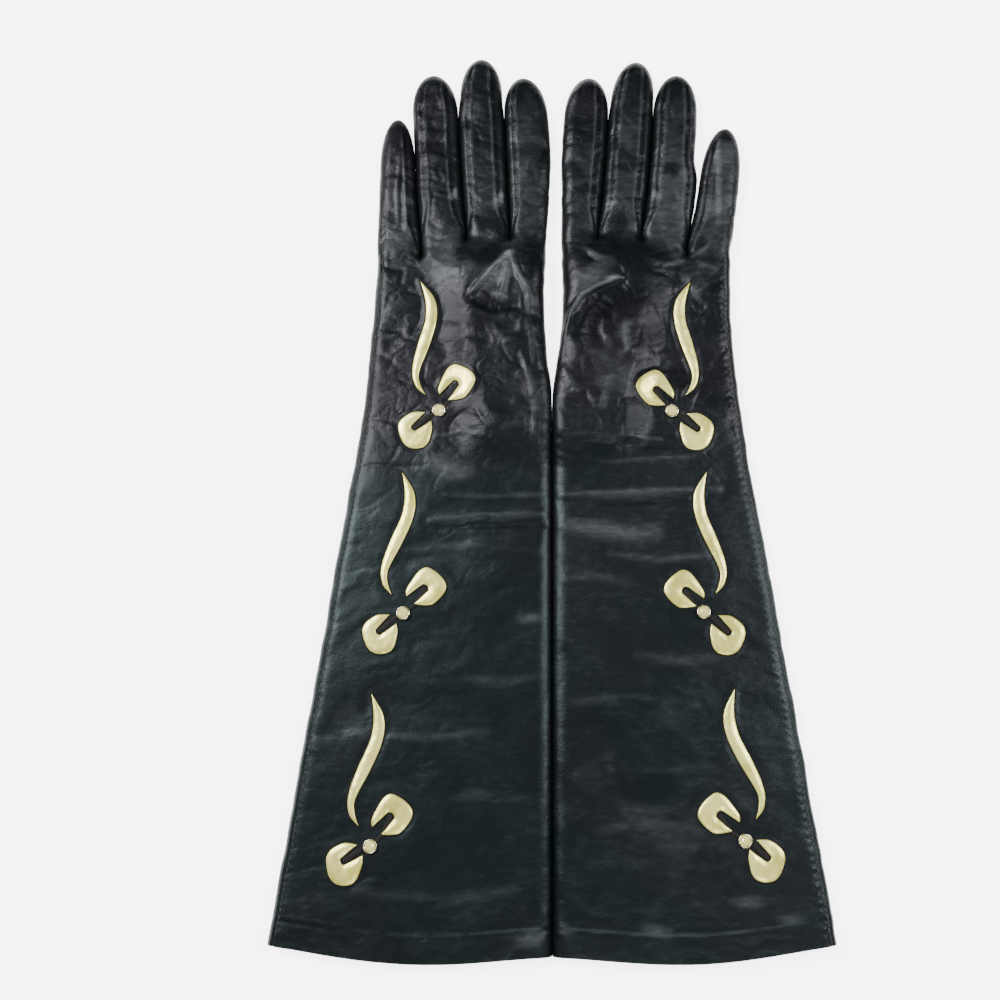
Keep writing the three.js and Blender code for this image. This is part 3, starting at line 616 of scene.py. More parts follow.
class Nodes:
    """A short way to write a material's nodes."""

    def __init__(self, name):
        self.material = bpy.data.materials.new(name)
        self.material.use_nodes = True
        self.tree = self.material.node_tree
        self.shader = self.tree.nodes["Principled BSDF"]

    def add(self, kind, inputs=None, **settings):
        node = self.tree.nodes.new(kind)
        for key, value in settings.items():
            setattr(node, key, value)
        for key, value in (inputs or {}).items():
            self.put(node, key, value)
        return node

    def put(self, node, key, value):
        if isinstance(value, bpy.types.NodeSocket):
            self.tree.links.new(value, node.inputs[key])
        else:
            node.inputs[key].default_value = value

    def set(self, **inputs):
        for key, value in inputs.items():
            self.put(self.shader, key.replace("_", " "), value)

    def place(self, scale):
        """Object space, stretched by a scale."""
        where = self.add("ShaderNodeTexCoord").outputs["Object"]
        return self.add("ShaderNodeMapping", {"Vector": where, "Scale": scale}).outputs["Vector"]

    def noise(self, scale, detail, rough, stretch=(1, 1, 1)):
        inputs = {"Scale": scale, "Detail": detail, "Roughness": rough}
        node = self.add("ShaderNodeTexNoise", {"Vector": self.place(stretch), **inputs})
        return node.outputs["Fac"]

    def cells(self, scale):
        node = self.add("ShaderNodeTexVoronoi", {"Vector": self.place((1, 1, 1)), "Scale": scale})
        return node.outputs["Distance"]

    def between(self, value, low, high, to_low, to_high):
        inputs = {0: value, 1: low, 2: high, 3: to_low, 4: to_high}
        return self.add("ShaderNodeMapRange", inputs).outputs[0]

    def math(self, operation, a, b):
        return self.add("ShaderNodeMath", {0: a, 1: b}, operation=operation).outputs[0]

    def mix(self, share, a, b):
        node = self.add("ShaderNodeMix", {"Factor": share}, data_type="RGBA")
        self.put(node, 6, a)
        self.put(node, 7, b)
        return node.outputs[2]

    def bump(self, height, distance, strength, normal=None):
        inputs = {"Height": height, "Distance": distance, "Strength": strength}
        if normal:
            inputs["Normal"] = normal
        return self.add("ShaderNodeBump", inputs).outputs["Normal"]

    def layer(self, name):
        return self.add("ShaderNodeAttribute", attribute_name=name).outputs["Fac"]


def colour(red, green, blue):
    return (red, green, blue, 1.0)


def black_leather():
    """Nearly black leather: one layer paints highlights and shade into its colour, and "grainy" is
    higher on the hand.
    """
    n = Nodes("black_leather")
    rub, grainy = n.layer("rub"), n.layer("grainy")
    streaks = n.noise(430, 6, 0.6, (0.4, 1, 1))
    patches = n.noise(42, 4, 0.55, (0.7, 1, 1))
    hue = n.between(n.noise(14, 2, 0.5), 0.35, 0.65, 0, 1)
    dark = n.between(rub, -1, 0, 1, 0)
    base = n.mix(hue, colour(0.0006, 0.0026, 0.0024), colour(0.0018, 0.0019, 0.003))
    streaked = n.between(streaks, 0.36, 0.66, 0.5, 1.1)
    lit_and_worn = n.math("MULTIPLY", n.between(rub, 0, MOST_PAINTED_LIGHT, 0, 1), streaked)
    faint, patchy = n.between(streaks, 0.5, 0.75, 0, 0.08), n.between(patches, 0.42, 0.65, 0.1, 1)
    light = n.math("ADD", lit_and_worn, n.math("MULTIPLY", faint, patchy))
    share = n.math("MULTIPLY", light, n.between(dark, 0, 1, 1, 0.1))
    dull = n.math("ADD", share, n.between(patches, 0.3, 0.7, -0.15, 0.25))
    # Painted highlights: a cool grey mixed into the colour by the painted-light layer and by faint
    # streaks of painted sheen; painted shade holds it back and lowers the specular level.
    n.set(Base_Color=n.mix(share, base, colour(0.1, 0.108, 0.12)))
    n.set(Roughness=n.between(dull, 0, 1, 0.38, 0.56))
    n.set(Specular_IOR_Level=n.between(dark, 0, 1, 0.28, 0.12), IOR=1.45)
    hand = n.between(grainy, SLEEVE_GRAIN, 1, 0, 1)
    n.set(Specular_Tint=n.mix(hand, colour(0.78, 0.95, 1.0), colour(0.93, 0.93, 1.0)))
    wrinkled = n.math("MULTIPLY", n.noise(420, 5, 0.6, (0.8, 1, 1)), grainy)
    normal = n.bump(streaks, 0.00018, 0.4, n.bump(wrinkled, 0.0006, 0.35))
    normal = n.bump(n.cells(1500), 0.00008, 0.45, normal)
    n.set(Normal=n.bump(n.noise(2600, 3, 0.6), 0.00003, 0.35, normal))
    return n.material


def flesh_side():
    n = Nodes("leather_flesh_side")
    nap = n.noise(1400, 5, 0.65)
    share = n.math("MULTIPLY", nap, n.between(n.noise(40, 3, 0.5), 0.3, 0.7, 0.5, 1.2))
    n.set(Base_Color=n.mix(share, colour(0.01, 0.01, 0.011), colour(0.045, 0.043, 0.042)))
    n.set(Roughness=0.95, Specular_IOR_Level=0.15, Sheen_Weight=0.3)
    n.set(Normal=n.bump(nap, 0.00015, 0.7))
    return n.material


def gold_leather():
    n = Nodes("gold_leather")
    streaks, patches = n.noise(420, 5, 0.6, (1, 0.3, 1)), n.noise(75, 3, 0.5)
    streaked, patchy = n.between(streaks, 0.35, 0.7, 0, 0.55), n.between(patches, 0.35, 0.7, 0, 0.6)
    share = n.math("ADD", streaked, patchy)
    n.set(Base_Color=n.mix(share, colour(0.93, 0.89, 0.3), colour(0.46, 0.42, 0.07)))
    n.set(Metallic=0.6, Roughness=n.between(streaks, 0.3, 0.7, 0.32, 0.46))
    n.set(Normal=n.bump(n.cells(2200), 0.00004, 0.35, n.bump(streaks, 0.00008, 0.4)))
    return n.material


def plain(name, noise, colours, roughness, bump=None, **settings):
    """Two colours mixed by a fine noise (scale, detail, roughness) that also varies the gloss."""
    n = Nodes(name)
    fine = n.noise(*noise)
    n.set(Base_Color=n.mix(fine, *[colour(*c) for c in colours]))
    n.set(Roughness=n.between(fine, 0.3, 0.7, *roughness), **settings)
    if bump:
        n.set(Normal=n.bump(fine, *bump))
    return n.material


LEATHER, FLESH, GOLD = black_leather(), flesh_side(), gold_leather()
EDGE = plain(
    "near_black_trim", (900, 4, 0.6), [(0.003, 0.003, 0.003), (0.012, 0.011, 0.01)],
    (0.62, 0.85), (0.0001, 0.6), Specular_IOR_Level=0.2,
)
THREAD = plain(
    "black_thread", (3000, 2, 0.5), [(0.004, 0.004, 0.005), (0.02, 0.02, 0.023)],
    (0.35, 0.6), (0.00005, 0.5),
)
METAL = plain(
    "gold_metal", (900, 3, 0.5), [(0.86, 0.8, 0.56), (0.66, 0.58, 0.34)], (0.2, 0.36), Metallic=1.0,
)
CRYSTAL = plain(
    "crystal", (1600, 2, 0.5), [(0.8, 0.78, 0.3), (0.6, 0.56, 0.17)], (0.06, 0.16),
    Metallic=0.12, Coat_Weight=1.0, Coat_Roughness=0.03,
)


# ---- Sleeve and hand ----

# How far from each side the columns near it lie. They are close together at the outseam.
LEFT_STEPS = [0, 0.12, 0.45, 0.95, 1.7, 2.6, 3.7, 5, 6.5, 8.2, 9.6]
NEAR_SEAM = [0, 0.12, 0.4, 0.8, 1.2, 1.55, 1.9, 2.25, 2.6, 2.95, 3.3, 3.7, 4.2, 4.8, 5.4, 6]
RIGHT_STEPS = [*NEAR_SEAM, 7, 8.2, 9.6]
MIDDLE_MARGIN = 11.0
BACK_COLUMNS, PALM_COLUMNS = 92, 34
CUFF_CURVE = 46  # the rows follow the cuff's curve less and less, up to this height


def across_columns(left, right, middle):
    """The x of each column from left to right, for arrays of sides."""
    inner = np.linspace(0, 1, middle)
    start = left[:, None] + np.array(LEFT_STEPS)
    end = right[:, None] - np.array(RIGHT_STEPS)[::-1]
    between = lerp(left[:, None] + MIDDLE_MARGIN, right[:, None] - MIDDLE_MARGIN, inner)
    return np.hstack([start, between, end])


def ring_columns(left, right, top_middle, bottom_middle):
    """The x of each column round a tube, and 1 above or -1 below."""
    top = across_columns(left, right, top_middle)
    bottom = across_columns(left, right, bottom_middle)[:, ::-1][:, 1:-1]
    up = np.concatenate([np.ones(top.shape[1]), -np.ones(bottom.shape[1])])
    return np.hstack([top, bottom]), up


def body_point(glove, x, y, up):
    """The sleeve and hand's surface above or below each x and y."""
    half = glove.height / 2
    left, right = glove.body_side(y, 0), glove.body_side(y, 1)
    reach = lerp(SIDE_REACH, FINGER_REACH, smooth(glove.knuckle - 30, glove.knuckle, y))
    rise = section_rise(x, left, right, reach, 0, 0, half)
    for number, (fork_x, _) in enumerate(glove.forks):
        gap = glove.valley(number, y, half)
        d = np.clip(np.abs(x - fork_x) / FINGER_REACH, 0, 1)
        rise = np.minimum(rise, gap + (half - gap) * rounded(d))
    dome = pillow(x, left, right) * (1 - smooth(glove.knuckle - 25, glove.knuckle, y))
    return surface_height(glove, x, y, up, half, rise * (1 - PILLOW * dome), half)


def surface_height(glove, x, y, up, middle, rise, half):
    """z from the tube's rise, the thumb's lift and the folds, which fade out towards the sides."""
    height, rub = glove.relief(x, y)
    under, under_painted_light = glove.relief(x, y, under=True)
    share = np.clip(rise / half, 0, 1)
    top = middle + rise + glove.back_lift * glove.lift(x, y, BACK_FADE) + height * share
    flattened = np.maximum(under, -middle + rise) * PALM_FOLDS * share
    low = middle - rise + glove.palm_lift * glove.lift(x, y) + flattened
    on_hand = smooth(glove.wrist - 30, glove.wrist + 10, y)
    # Painted shade on the sides of the tube, weaker on the sleeve.
    side_shade = (1 - smooth(0.42, 1.0, share)) * lerp(0.55, 1, on_hand)
    rub = np.where(up > 0, rub, under_painted_light) * (1 - side_shade) - SIDE_PAINTED_SHADE * side_shade
    return np.where(up > 0, top, np.maximum(low, LOWEST)), rub


def body_grid(glove):
    """Rows of points from the cuff's fold to the knuckles, with one more row at each end."""
    count = int(glove.knuckle / ROW_STEP)
    ys = np.linspace(-ROW_STEP, glove.knuckle + ROW_STEP, count + 3)
    left, right = glove.body_side(ys, 0), glove.body_side(ys, 1)
    x, up = ring_columns(left, right, BACK_COLUMNS, PALM_COLUMNS)
    near_cuff = 1 - smooth(0, CUFF_CURVE, ys)[:, None]
    y = ys[:, None] + near_cuff * (glove.cuff(x) + FOLD_RADIUS)
    left, right = glove.body_side(y, 0), glove.body_side(y, 1)
    share = (x - x[:, :1]) / (x.max(1, keepdims=True) - x[:, :1])
    x = lerp(left, right, share)
    up = np.broadcast_to(up, x.shape)
    z, rub = body_point(glove, x, y, up)
    points = np.stack([x, y, z], 2)
    normals = grid_normals(points)
    return points[1:-1], normals[1:-1], rub[1:-1]


def blend_between(glove, first, second, low, high):
    start, end = [Vector((0, (glove.foot + y) * MM, 0)) for y in (low, high)]
    return (f"{glove.name}_{first}", f"{glove.name}_{second}", start, end)


def wrist_blend(glove):
    low, high = [glove.wrist + reach for reach in WRIST_BLEND]
    return blend_between(glove, "sleeve", "hand", low, high)


def build_body(glove):
    points, normals, rub = body_grid(glove)
    rows, columns = rub.shape
    name = f"{glove.name}_trank"
    made = mesh_object(
        name, points.reshape(-1, 3), ring_faces(rows, columns), LEATHER, glove,
        normals.reshape(-1, 3), leather_layers(glove, points, rub),
    )
    replaced = [f"{glove.name}_sleeve_trank", f"{glove.name}_hand_trank"]
    finished(made, replaced, blend=wrist_blend(glove))
    build_hem(glove, points, normals, rub)
    build_lining(glove, points, normals)


def build_hem(glove, points, normals, rub):
    """The cuff's edge rolls in and the hem lies against the inside of the sleeve."""
    edge, out = points[0], normals[0]
    rows, roll = [], []
    for angle in np.linspace(0, math.pi, 9):
        inward, forward = FOLD_RADIUS * (1 - math.cos(angle)), FOLD_RADIUS * math.sin(angle)
        rows.append(edge - out * inward - np.array([0, forward, 0]))
        roll.append(out * math.cos(angle) - np.array([0, math.sin(angle), 0]))
    depth = int(HEM_DEPTH / ROW_STEP)
    for r in range(1, depth + 1):
        rows.append(points[r] - normals[r] * 2 * FOLD_RADIUS)
        roll.append(-normals[r])
    rows.append(points[depth] - normals[depth] * SKIN)
    roll.append(-normals[depth] * 0.2 + np.array([0, 1, 0]))
    rows, roll = np.array(rows), np.array(roll)
    roll /= np.linalg.norm(roll, axis=2, keepdims=True)
    faces = [tuple(reversed(f)) for f in ring_faces(len(rows), rows.shape[1])]
    # The cuff edge's painted highlights and shade, carried round the hem.
    lit_and_worn = np.tile(rub[0], len(rows))
    made = mesh_object(
        f"{glove.name}_rolled_hem", rows.reshape(-1, 3), faces, LEATHER, glove,
        roll.reshape(-1, 3), {"rub": lit_and_worn, "grainy": np.full(len(lit_and_worn), HEM_GRAIN)},
    )
    finished(made, [f"{glove.name}_cuff_hem"], body=f"{glove.name}_sleeve")


def build_lining(glove, points, normals):
    """The flesh side of the skin, seen in the cuff's mouth."""
    first, last = int(HEM_DEPTH / ROW_STEP) - 2, int(LINING_DEPTH / ROW_STEP)
    rows = points[first:last] - normals[first:last] * SKIN
    faces = [tuple(reversed(f)) for f in ring_faces(len(rows), rows.shape[1])]
    made = mesh_object(f"{glove.name}_flesh_side", rows.reshape(-1, 3), faces, FLESH, glove)
    finished(made, body=f"{glove.name}_sleeve")


# ---- Fingers and thumbs ----

STRIP_COLUMNS = 7
MIDDLE_COLUMNS = 16
MOST_SHOWING = 0.45  # the widest that a strip may be, as a share of half the finger's width
THUMB_STRIP = 0.4
FINGER_SEAM = {"groove": 0.55, "dark": 0.7, "light": 0.34, "pucker": 0.35, "pitch": 2.6}


def tube_columns(left, right, showing):
    """The x of each column across a finger: strip, middle, strip."""
    reach = np.minimum(FINGER_REACH, np.maximum((right - left) / 2, 1e-3))
    most = np.arccos(np.clip(1 - np.minimum(showing, reach) / reach, -1, 1))
    strip = reach[:, None] * (1 - np.cos(most[:, None] * np.linspace(0, 1, STRIP_COLUMNS + 1)))
    start, end = left[:, None] + strip, right[:, None] - strip[:, ::-1]
    inner = lerp(start[:, -1:], end[:, :1], np.linspace(0, 1, MIDDLE_COLUMNS + 1)[1:-1])
    return np.hstack([start, inner, end])


def round_tube(across):
    """The x of each column round a tube, and 1 above or -1 below, from the columns across it."""
    x = np.hstack([across, across[:, ::-1][:, 1:-1]])
    count = across.shape[1]
    up = np.concatenate([np.ones(count), -np.ones(count - 2)])
    return x, np.broadcast_to(up, x.shape)


def tube_rows(low, straight, step, tip_length):
    """The y of each row, closer together round the tip, and how far round the tip it is."""
    ys = np.arange(low, straight, step)
    round_tip = np.sin(np.linspace(0, math.pi / 2, TIP_ROWS))
    return np.append(ys, straight + tip_length * round_tip), np.append(0 * ys, round_tip)


def finger_grid(glove, finger):
    straight = glove.top[finger] - TIP_LENGTH[finger]
    reach = TIP_LENGTH[finger] * TIP_STRETCH
    ys, tip = tube_rows(glove.knuckle - ROW_STEP, straight, ROW_STEP, reach)
    sides = [glove.finger_side(finger, np.minimum(ys, straight), s) for s in (0, 1)]
    drift = (sides[0] + sides[1]) / 2
    lean = (drift[ys < straight][-1] - drift[ys < straight][-8]) / (7 * ROW_STEP)
    centre = drift + lean * np.maximum(ys - straight, 0)
    half_width = (sides[1] - sides[0]) / 2 * np.sqrt(1 - tip**2)
    left, right = centre - half_width, centre + half_width
    low, full, taper = FOURCHETTE
    wide = lerp(low, full, smooth(0, taper, ys - glove.hinge[finger]))
    showing = np.minimum(wide, half_width * MOST_SHOWING)
    across = tube_columns(left, right, showing)
    x, up = round_tube(across)
    y = np.broadcast_to(ys[:, None], x.shape)
    rows = [values[:, None] for values in (left, right, tip, showing)]
    z, rub = finger_point(glove, finger, x, y, up, *rows)
    points = np.stack([x, y, z], 2)
    normals = grid_normals(points)
    normals[-1] = [0, 1, 0]
    return points[1:], normals[1:], rub[1:], across.shape[1]


def finger_point(glove, finger, x, y, up, left, right, tip, showing):
    """A finger's surface above or below each x and y."""
    number = FINGERS.index(finger)
    full = glove.height / 2
    half = (full - TIP_THIN / 2 * tip**3) * np.sqrt(1 - tip**6)
    gaps = []
    for fork in (number - 1, number):
        gap = glove.valley(fork, y, full) if 0 <= fork < len(glove.forks) else 0 * x
        gaps.append(np.minimum(gap, half))
    reach = lerp(SIDE_REACH, FINGER_REACH, smooth(glove.knuckle - 30, glove.knuckle, y))
    rise = np.minimum(section_rise(x, left, right, reach, *gaps, half), half)
    rise *= 1 - PILLOW * pillow(x, left, right) * smooth(glove.knuckle, glove.knuckle + 20, y)
    middle = full - TIP_THIN * 0.1 * tip**3
    z, rub = surface_height(glove, x, y, up, middle, rise, full)
    started = smooth(glove.hinge[finger] - 5, glove.hinge[finger] + 9, y)
    shown = started * (1 - smooth(0.55, 0.8, tip))
    pull = 1 + FINGER_SEAM["pucker"] * np.sin(2 * np.pi * y / FINGER_SEAM["pitch"])
    seam = np.zeros_like(x)
    for side, _ in glove.strips(finger):
        distance = (x - left if side == 0 else right - x) - showing
        line = bell(distance, 0.5) - 0.4 * bell(distance - 1.2, 0.6)
        seam -= FINGER_SEAM["groove"] * line * pull * shown
        # Painted shade along the seam's groove and painted highlights beside it.
        beside = bell(distance + 1.9, 0.7) + bell(distance - 1.7, 0.6)
        rub = rub - FINGER_SEAM["dark"] * bell(distance, 0.75) * shown
        rub += FINGER_SEAM["light"] * beside * shown
    return np.maximum(z + seam * up, LOWEST), np.clip(rub, -1, MOST_PAINTED_LIGHT)


def build_finger(glove, finger):
    points, normals, rub, count = finger_grid(glove, finger)
    rows, columns = rub.shape
    ys = points[:, 0, 1]
    last = int(np.searchsorted(ys, glove.top[finger] - FOURCHETTE_END))
    first = int(np.searchsorted(ys, glove.hinge[finger]))

    def side_of(column):
        """0 or 1 for a column in the inner or outer strip, or None."""
        place = column if column < count - 1 else 2 * (count - 1) - 1 - column
        if place < STRIP_COLUMNS:
            return 0
        return 1 if place >= count - 1 - STRIP_COLUMNS else None

    strips = dict(glove.strips(finger))

    def owner(r, c):
        side = side_of(c)
        return strips.get(side) if first <= r < last and side is not None else None

    flat = points.reshape(-1, 3), normals.reshape(-1, 3), rub.ravel()
    hinge = glove.hinge[finger]
    blend = blend_between(glove, "hand", finger, hinge, hinge + FINGER_BLEND)
    for node in [None, *strips.values()]:
        faces = ring_faces(rows, columns, lambda r, c: owner(r, c) == node)
        used, faces, bent, lit_and_worn = compact(flat[0], faces, flat[1], flat[2])
        label = f"{glove.name}_{node or finger + '_trank'}"
        layers = {"rub": lit_and_worn, "grainy": np.ones(len(lit_and_worn))}
        made = mesh_object(f"{label}_skin", used, faces, LEATHER, glove, bent, layers)
        finished(made, [label], blend=blend)


def build_thumb(glove):
    """The thumb, folded flat under the palm."""
    tip_length = TIP_LENGTH["index"]
    straight = glove.thumb_tip - tip_length
    ys, tip = tube_rows(glove.thumb_base, straight, ROW_STEP * 1.5, tip_length)
    sides = [glove.thumb.at(ys, s) for s in (0, 1)]
    held = [glove.thumb.at(np.minimum(ys, straight), s) for s in (0, 1)]
    centre, half_width = (sides[0] + sides[1]) / 2, (held[1] - held[0]) / 2 * np.sqrt(1 - tip**2)
    left, right = centre - half_width, centre + half_width
    x, up = round_tube(tube_columns(left, right, half_width * THUMB_STRIP))
    y = np.broadcast_to(ys[:, None], x.shape)
    full = glove.thumb_height / 2
    half = full * np.sqrt(1 - tip[:, None] ** 5)
    rise = section_rise(x, left[:, None], right[:, None], THUMB_REACH, 0, 0, half)
    folds = 0.16 * creases(x / 20, y / 5, 91, 0.3) * rise / full
    points = np.stack([x, y, full + up * (rise - folds)], 2)
    normals = grid_normals(points)
    normals[-1] = [0, 1, 0]
    # Painted highlight patches.
    rub = 0.3 * smooth(0.1, 0.8, noise(x / 8, y / 4, 92))
    made = mesh_object(
        f"{glove.name}_thumb_skin", points.reshape(-1, 3), ring_faces(*rub.shape), LEATHER, glove,
        normals.reshape(-1, 3), leather_layers(glove, points, rub),
    )
    finished(made, [f"{glove.name}_thumb"], body=f"{glove.name}_thumb")


# ---- Stitches ----

STITCH = {"length": 1.9, "pitch": 2.9, "radius": 0.2, "first": 16, "past_knuckle": 10}
STITCH_INSET = {"left": 3.9, "right": 3.4}  # from the glove's outer side


def stitch(ends):
    """A small lens-shaped stitch lying along a surface between two points."""
    rows, sides = 5, 6
    along = (ends[1] - ends[0]) / np.linalg.norm(ends[1] - ends[0])
    across = np.cross(along, [0, 0, 1])
    across /= np.linalg.norm(across)
    up = np.cross(across, along)
    points = []
    for t in np.linspace(0, 1, rows + 1):
        r = STITCH["radius"] * math.sqrt(max(1 - (2 * t - 1) ** 4, 0.02))
        middle = ends.mean(0) + along * (t - 0.5) * STITCH["length"]
        for a in 2 * math.pi * np.arange(sides) / sides:
            points.append(middle + across * r * math.cos(a) + up * r * math.sin(a))
    return points, [f[::-1] for f in ring_faces(rows + 1, sides)]


def add_to(points, faces, more, quads):
    """Adds one small mesh's points and faces to a larger one's."""
    faces += [tuple(i + len(points) for i in quad) for quad in quads]
    points += more


def build_stitches(glove):
    """Running stitches along the outseam, on the back."""
    points, faces = [], []
    for y in np.arange(STITCH["first"], glove.knuckle + STITCH["past_knuckle"], STITCH["pitch"]):
        at = np.array([y - 0.8, y + 0.8])
        x = glove.body_side(at, 1) - STITCH_INSET[glove.name]
        z, _ = body_point(glove, x, at, np.ones(2))
        add_to(points, faces, *stitch(np.column_stack([x, at, z + 0.02])))
    made = mesh_object(f"{glove.name}_outseam_stitches", np.array(points), faces, THREAD, glove)
    finished(made, blend=wrist_blend(glove))


# ---- Bow ornaments ----

BOWS = (1, 2, 3)
LOOPS = ("upper_loop", "lower_loop")
GOLD_GAP = 0.12  # from the leather to the gold
LEATHER_EDGE = 0.6  # how high the gold's rounded rim is
ROUNDING = 0.65
PUFF = 0.45  # how much higher its middle is
BOW_PITCH = 0.55
FILL_PITCH = 0.75
DARK_RIM = [(0.5, -0.25), (0.425, 0.1), (0.05, 0.22), (-0.1, 0.5)]  # out from the gold, and height
STEM = {"start": 0.62, "end": 0.93, "half_widths": (1.1, 1.6)}
STEM |= {"lift": 0.05, "height": 0.62, "tip": 0.1}
STEM_COLUMNS = 9
CUP = [(3.3, 0), (3.3, 1.1), (3.2, 1.42), (2.95, 1.55), (2.7, 1.42), (2.62, 1.1), (2.6, 0.3)]
CLAW = [(0.3, -0.4), (0.4, -0.1), (0.38, 0.15), (0.24, 0.34), (0.03, 0.42)]
CLAWS = {"count": 6, "radius": 2.68, "height": 1.5}
FACETS = 8
GIRDLE, STAR, TABLE = 2.55, 1.85, 1.25  # the stone's radii


def top_outline(glove, node):
    """The closed plan outline of an appliqué's upper face, anticlockwise."""
    data = frame["nodes"][f"{glove.name}_{node}"].data
    points = glove.points(node)
    count = {}
    for polygon in data.polygons:
        if polygon.normal.z > 0.7:
            corners = list(polygon.vertices)
            for a, b in zip(corners, corners[1:] + corners[:1]):
                a, b = place_key(points[a]), place_key(points[b])
                count[(a, b)] = count.get((a, b), 0) + 1
    follow = {a: b for (a, b) in count if (b, a) not in count}
    start = next(iter(follow))
    loop = [start]
    while follow[loop[-1]] != start:
        loop.append(follow[loop[-1]])
    loop = np.array(loop, float)
    return loop if signed_area(loop) > 0 else loop[::-1]


def place_key(point):
    return round(float(point[0]), 3), round(float(point[1]), 3)


def signed_area(loop):
    x, y = loop.T
    return 0.5 * np.sum(x * np.roll(y, -1) - np.roll(x, -1) * y)


def turns(loop):
    """The turning angle at each corner of a closed outline."""
    before, after = loop - np.roll(loop, 1, axis=0), np.roll(loop, -1, axis=0) - loop
    cross = before[:, 0] * after[:, 1] - before[:, 1] * after[:, 0]
    return np.arctan2(cross, (before * after).sum(1))


def spline(points):
    """A smooth open curve through points, with its own points close together."""
    if len(points) == 2:
        steps = max(2, int(np.linalg.norm(points[1] - points[0]) / BOW_PITCH))
        return lerp(points[0], points[1], np.linspace(0, 1, steps, endpoint=False)[:, None])
    ends = [2 * points[0] - points[1], *points, 2 * points[-1] - points[-2]]
    made = []
    for a, b, c, d in zip(ends, ends[1:], ends[2:], ends[3:]):
        steps = max(2, int(round(np.linalg.norm(c - b) / BOW_PITCH)))
        t = np.linspace(0, 1, steps, endpoint=False)[:, None]
        second, third = 2 * a - 5 * b + 4 * c - d, 3 * b - a - 3 * c + d
        made.append(0.5 * (2 * b + (c - a) * t + second * t**2 + third * t**3))
    return np.vstack(made)


def smooth_outline(loop, corner=0.9):
    """The outline with its sharp corners kept and the rest made smooth."""
    sharp = np.flatnonzero(np.abs(turns(loop)) > corner)
    if not len(sharp):
        sharp = np.array([0])
    loop = np.roll(loop, -sharp[0], axis=0)
    sharp = np.append((sharp - sharp[0]) % len(loop), len(loop))
    closed = np.vstack([loop, loop[:1]])
    return np.vstack([spline(closed[a : b + 1]) for a, b in zip(sharp[:-1], sharp[1:])])


def outward(loop):
    """Unit vectors that point out of an anticlockwise outline."""
    along = np.roll(loop, -1, axis=0) - np.roll(loop, 1, axis=0)
    normal = np.column_stack([along[:, 1], -along[:, 0]])
    return normal / np.maximum(np.linalg.norm(normal, axis=1, keepdims=True), 1e-9)


def filled(loop):
    """Points and triangles that fill an outline, finer near its rim."""
    inner = [loop + outward(loop) * -d for d in (0.22, 0.5)]
    low, high = loop.min(0), loop.max(0)
    gx, gy = np.meshgrid(*[np.arange(a, b, FILL_PITCH) for a, b in zip(low, high)])
    extra = np.vstack([*inner, np.column_stack([gx.ravel(), gy.ravel()])])
    extra = extra[inside_of(extra[:, 0], extra[:, 1], loop)]
    far, _ = polyline_distance(extra[:, 0], extra[:, 1], np.vstack([loop, loop[:1]]))
    extra = extra[far > 0.16]
    points = [Vector(p) for p in np.vstack([loop, extra])]
    made = geometry.delaunay_2d_cdt(points, [], [list(range(len(loop)))], 1, 1e-5)
    return np.array([p[:] for p in made[0]]), made[2]


def build_applique(glove, node, body, gold_name):
    """A gold leather piece with a rounded rim, and a near-black strip just outside its outline."""
    loop = smooth_outline(top_outline(glove, node))
    points, triangles = filled(loop)
    x, y = points.T
    rim, _ = polyline_distance(x, y, np.vstack([loop, loop[:1]]))
    wave = 0.1 * noise(x / 4, y / 4, 15) + 0.05 * noise(x / 1.6, y / 1.6, 16)
    z = glove.top_of(x, y) + GOLD_GAP + LEATHER_EDGE * rounded(np.clip(rim / ROUNDING, 0, 1))
    z += PUFF * smooth(0, 2.6, rim) + wave * smooth(0, 1.2, rim)
    gold = mesh_object(gold_name, np.column_stack([points, z]), triangles, GOLD, glove)
    finished(gold, [f"{glove.name}_{node}"], body=body)
    rings = []
    for past, height in DARK_RIM:
        ring = loop + outward(loop) * past
        rings.append(np.column_stack([ring, glove.top_of(*ring.T) + height]))
    faces = ring_faces(len(rings), len(loop))
    dark_rim = mesh_object(f"{gold_name}_backing", np.vstack(rings), faces, EDGE, glove)
    finished(dark_rim, body=body)


def build_stem(glove, loop, stone, name, body):
    """The black strip that runs from the stone into the slot of a loop."""
    hollow = loop[turns(loop) < -0.3]
    far = hollow[np.argmax(np.linalg.norm(hollow - stone, axis=1))]
    mouth = loop[np.argsort(np.linalg.norm(loop - stone, axis=1))[:2]].mean(0)
    start, end = lerp(mouth, stone, STEM["start"]), lerp(mouth, far, STEM["end"])
    outside = lerp(start, mouth, np.linspace(0, 1, 6, endpoint=False)[:, None])
    path = np.vstack([outside, lerp(mouth, end, np.linspace(0, 1, 16)[:, None])])
    along = np.gradient(path, axis=0)
    along /= np.linalg.norm(along, axis=1, keepdims=True)
    across = np.column_stack([along[:, 1], -along[:, 0]])
    t = np.linspace(0, 1, len(path))
    narrowing = np.clip((t - 1 + STEM["tip"]) / STEM["tip"], 0, 1)
    half = lerp(*STEM["half_widths"], t) * np.sqrt(np.clip(1 - narrowing**2, 0.01, 1))
    angles = np.linspace(0, math.pi, STEM_COLUMNS)
    rows = []
    for p, side, width in zip(path, across, half):
        flat = p + side * (width * np.cos(angles))[:, None]
        height = glove.top_of(*flat.T) + STEM["lift"] + STEM["height"] * np.sin(angles)
        rows.append(np.column_stack([flat, height]))
    faces = ring_faces(len(rows), STEM_COLUMNS, lambda r, c: c != STEM_COLUMNS - 1)
    made = mesh_object(name, np.vstack(rows), faces, EDGE, glove)
    finished(made, body=body)


def lathe(centre, profile, sides, turn=0.0):
    """A profile of radii and heights turned round an upright axis."""
    points = []
    for r, z in profile:
        for a in 2 * math.pi * (np.arange(sides) + turn) / sides:
            points.append((centre[0] + r * math.cos(a), centre[1] + r * math.sin(a), centre[2] + z))
    return points, ring_faces(len(profile), sides)


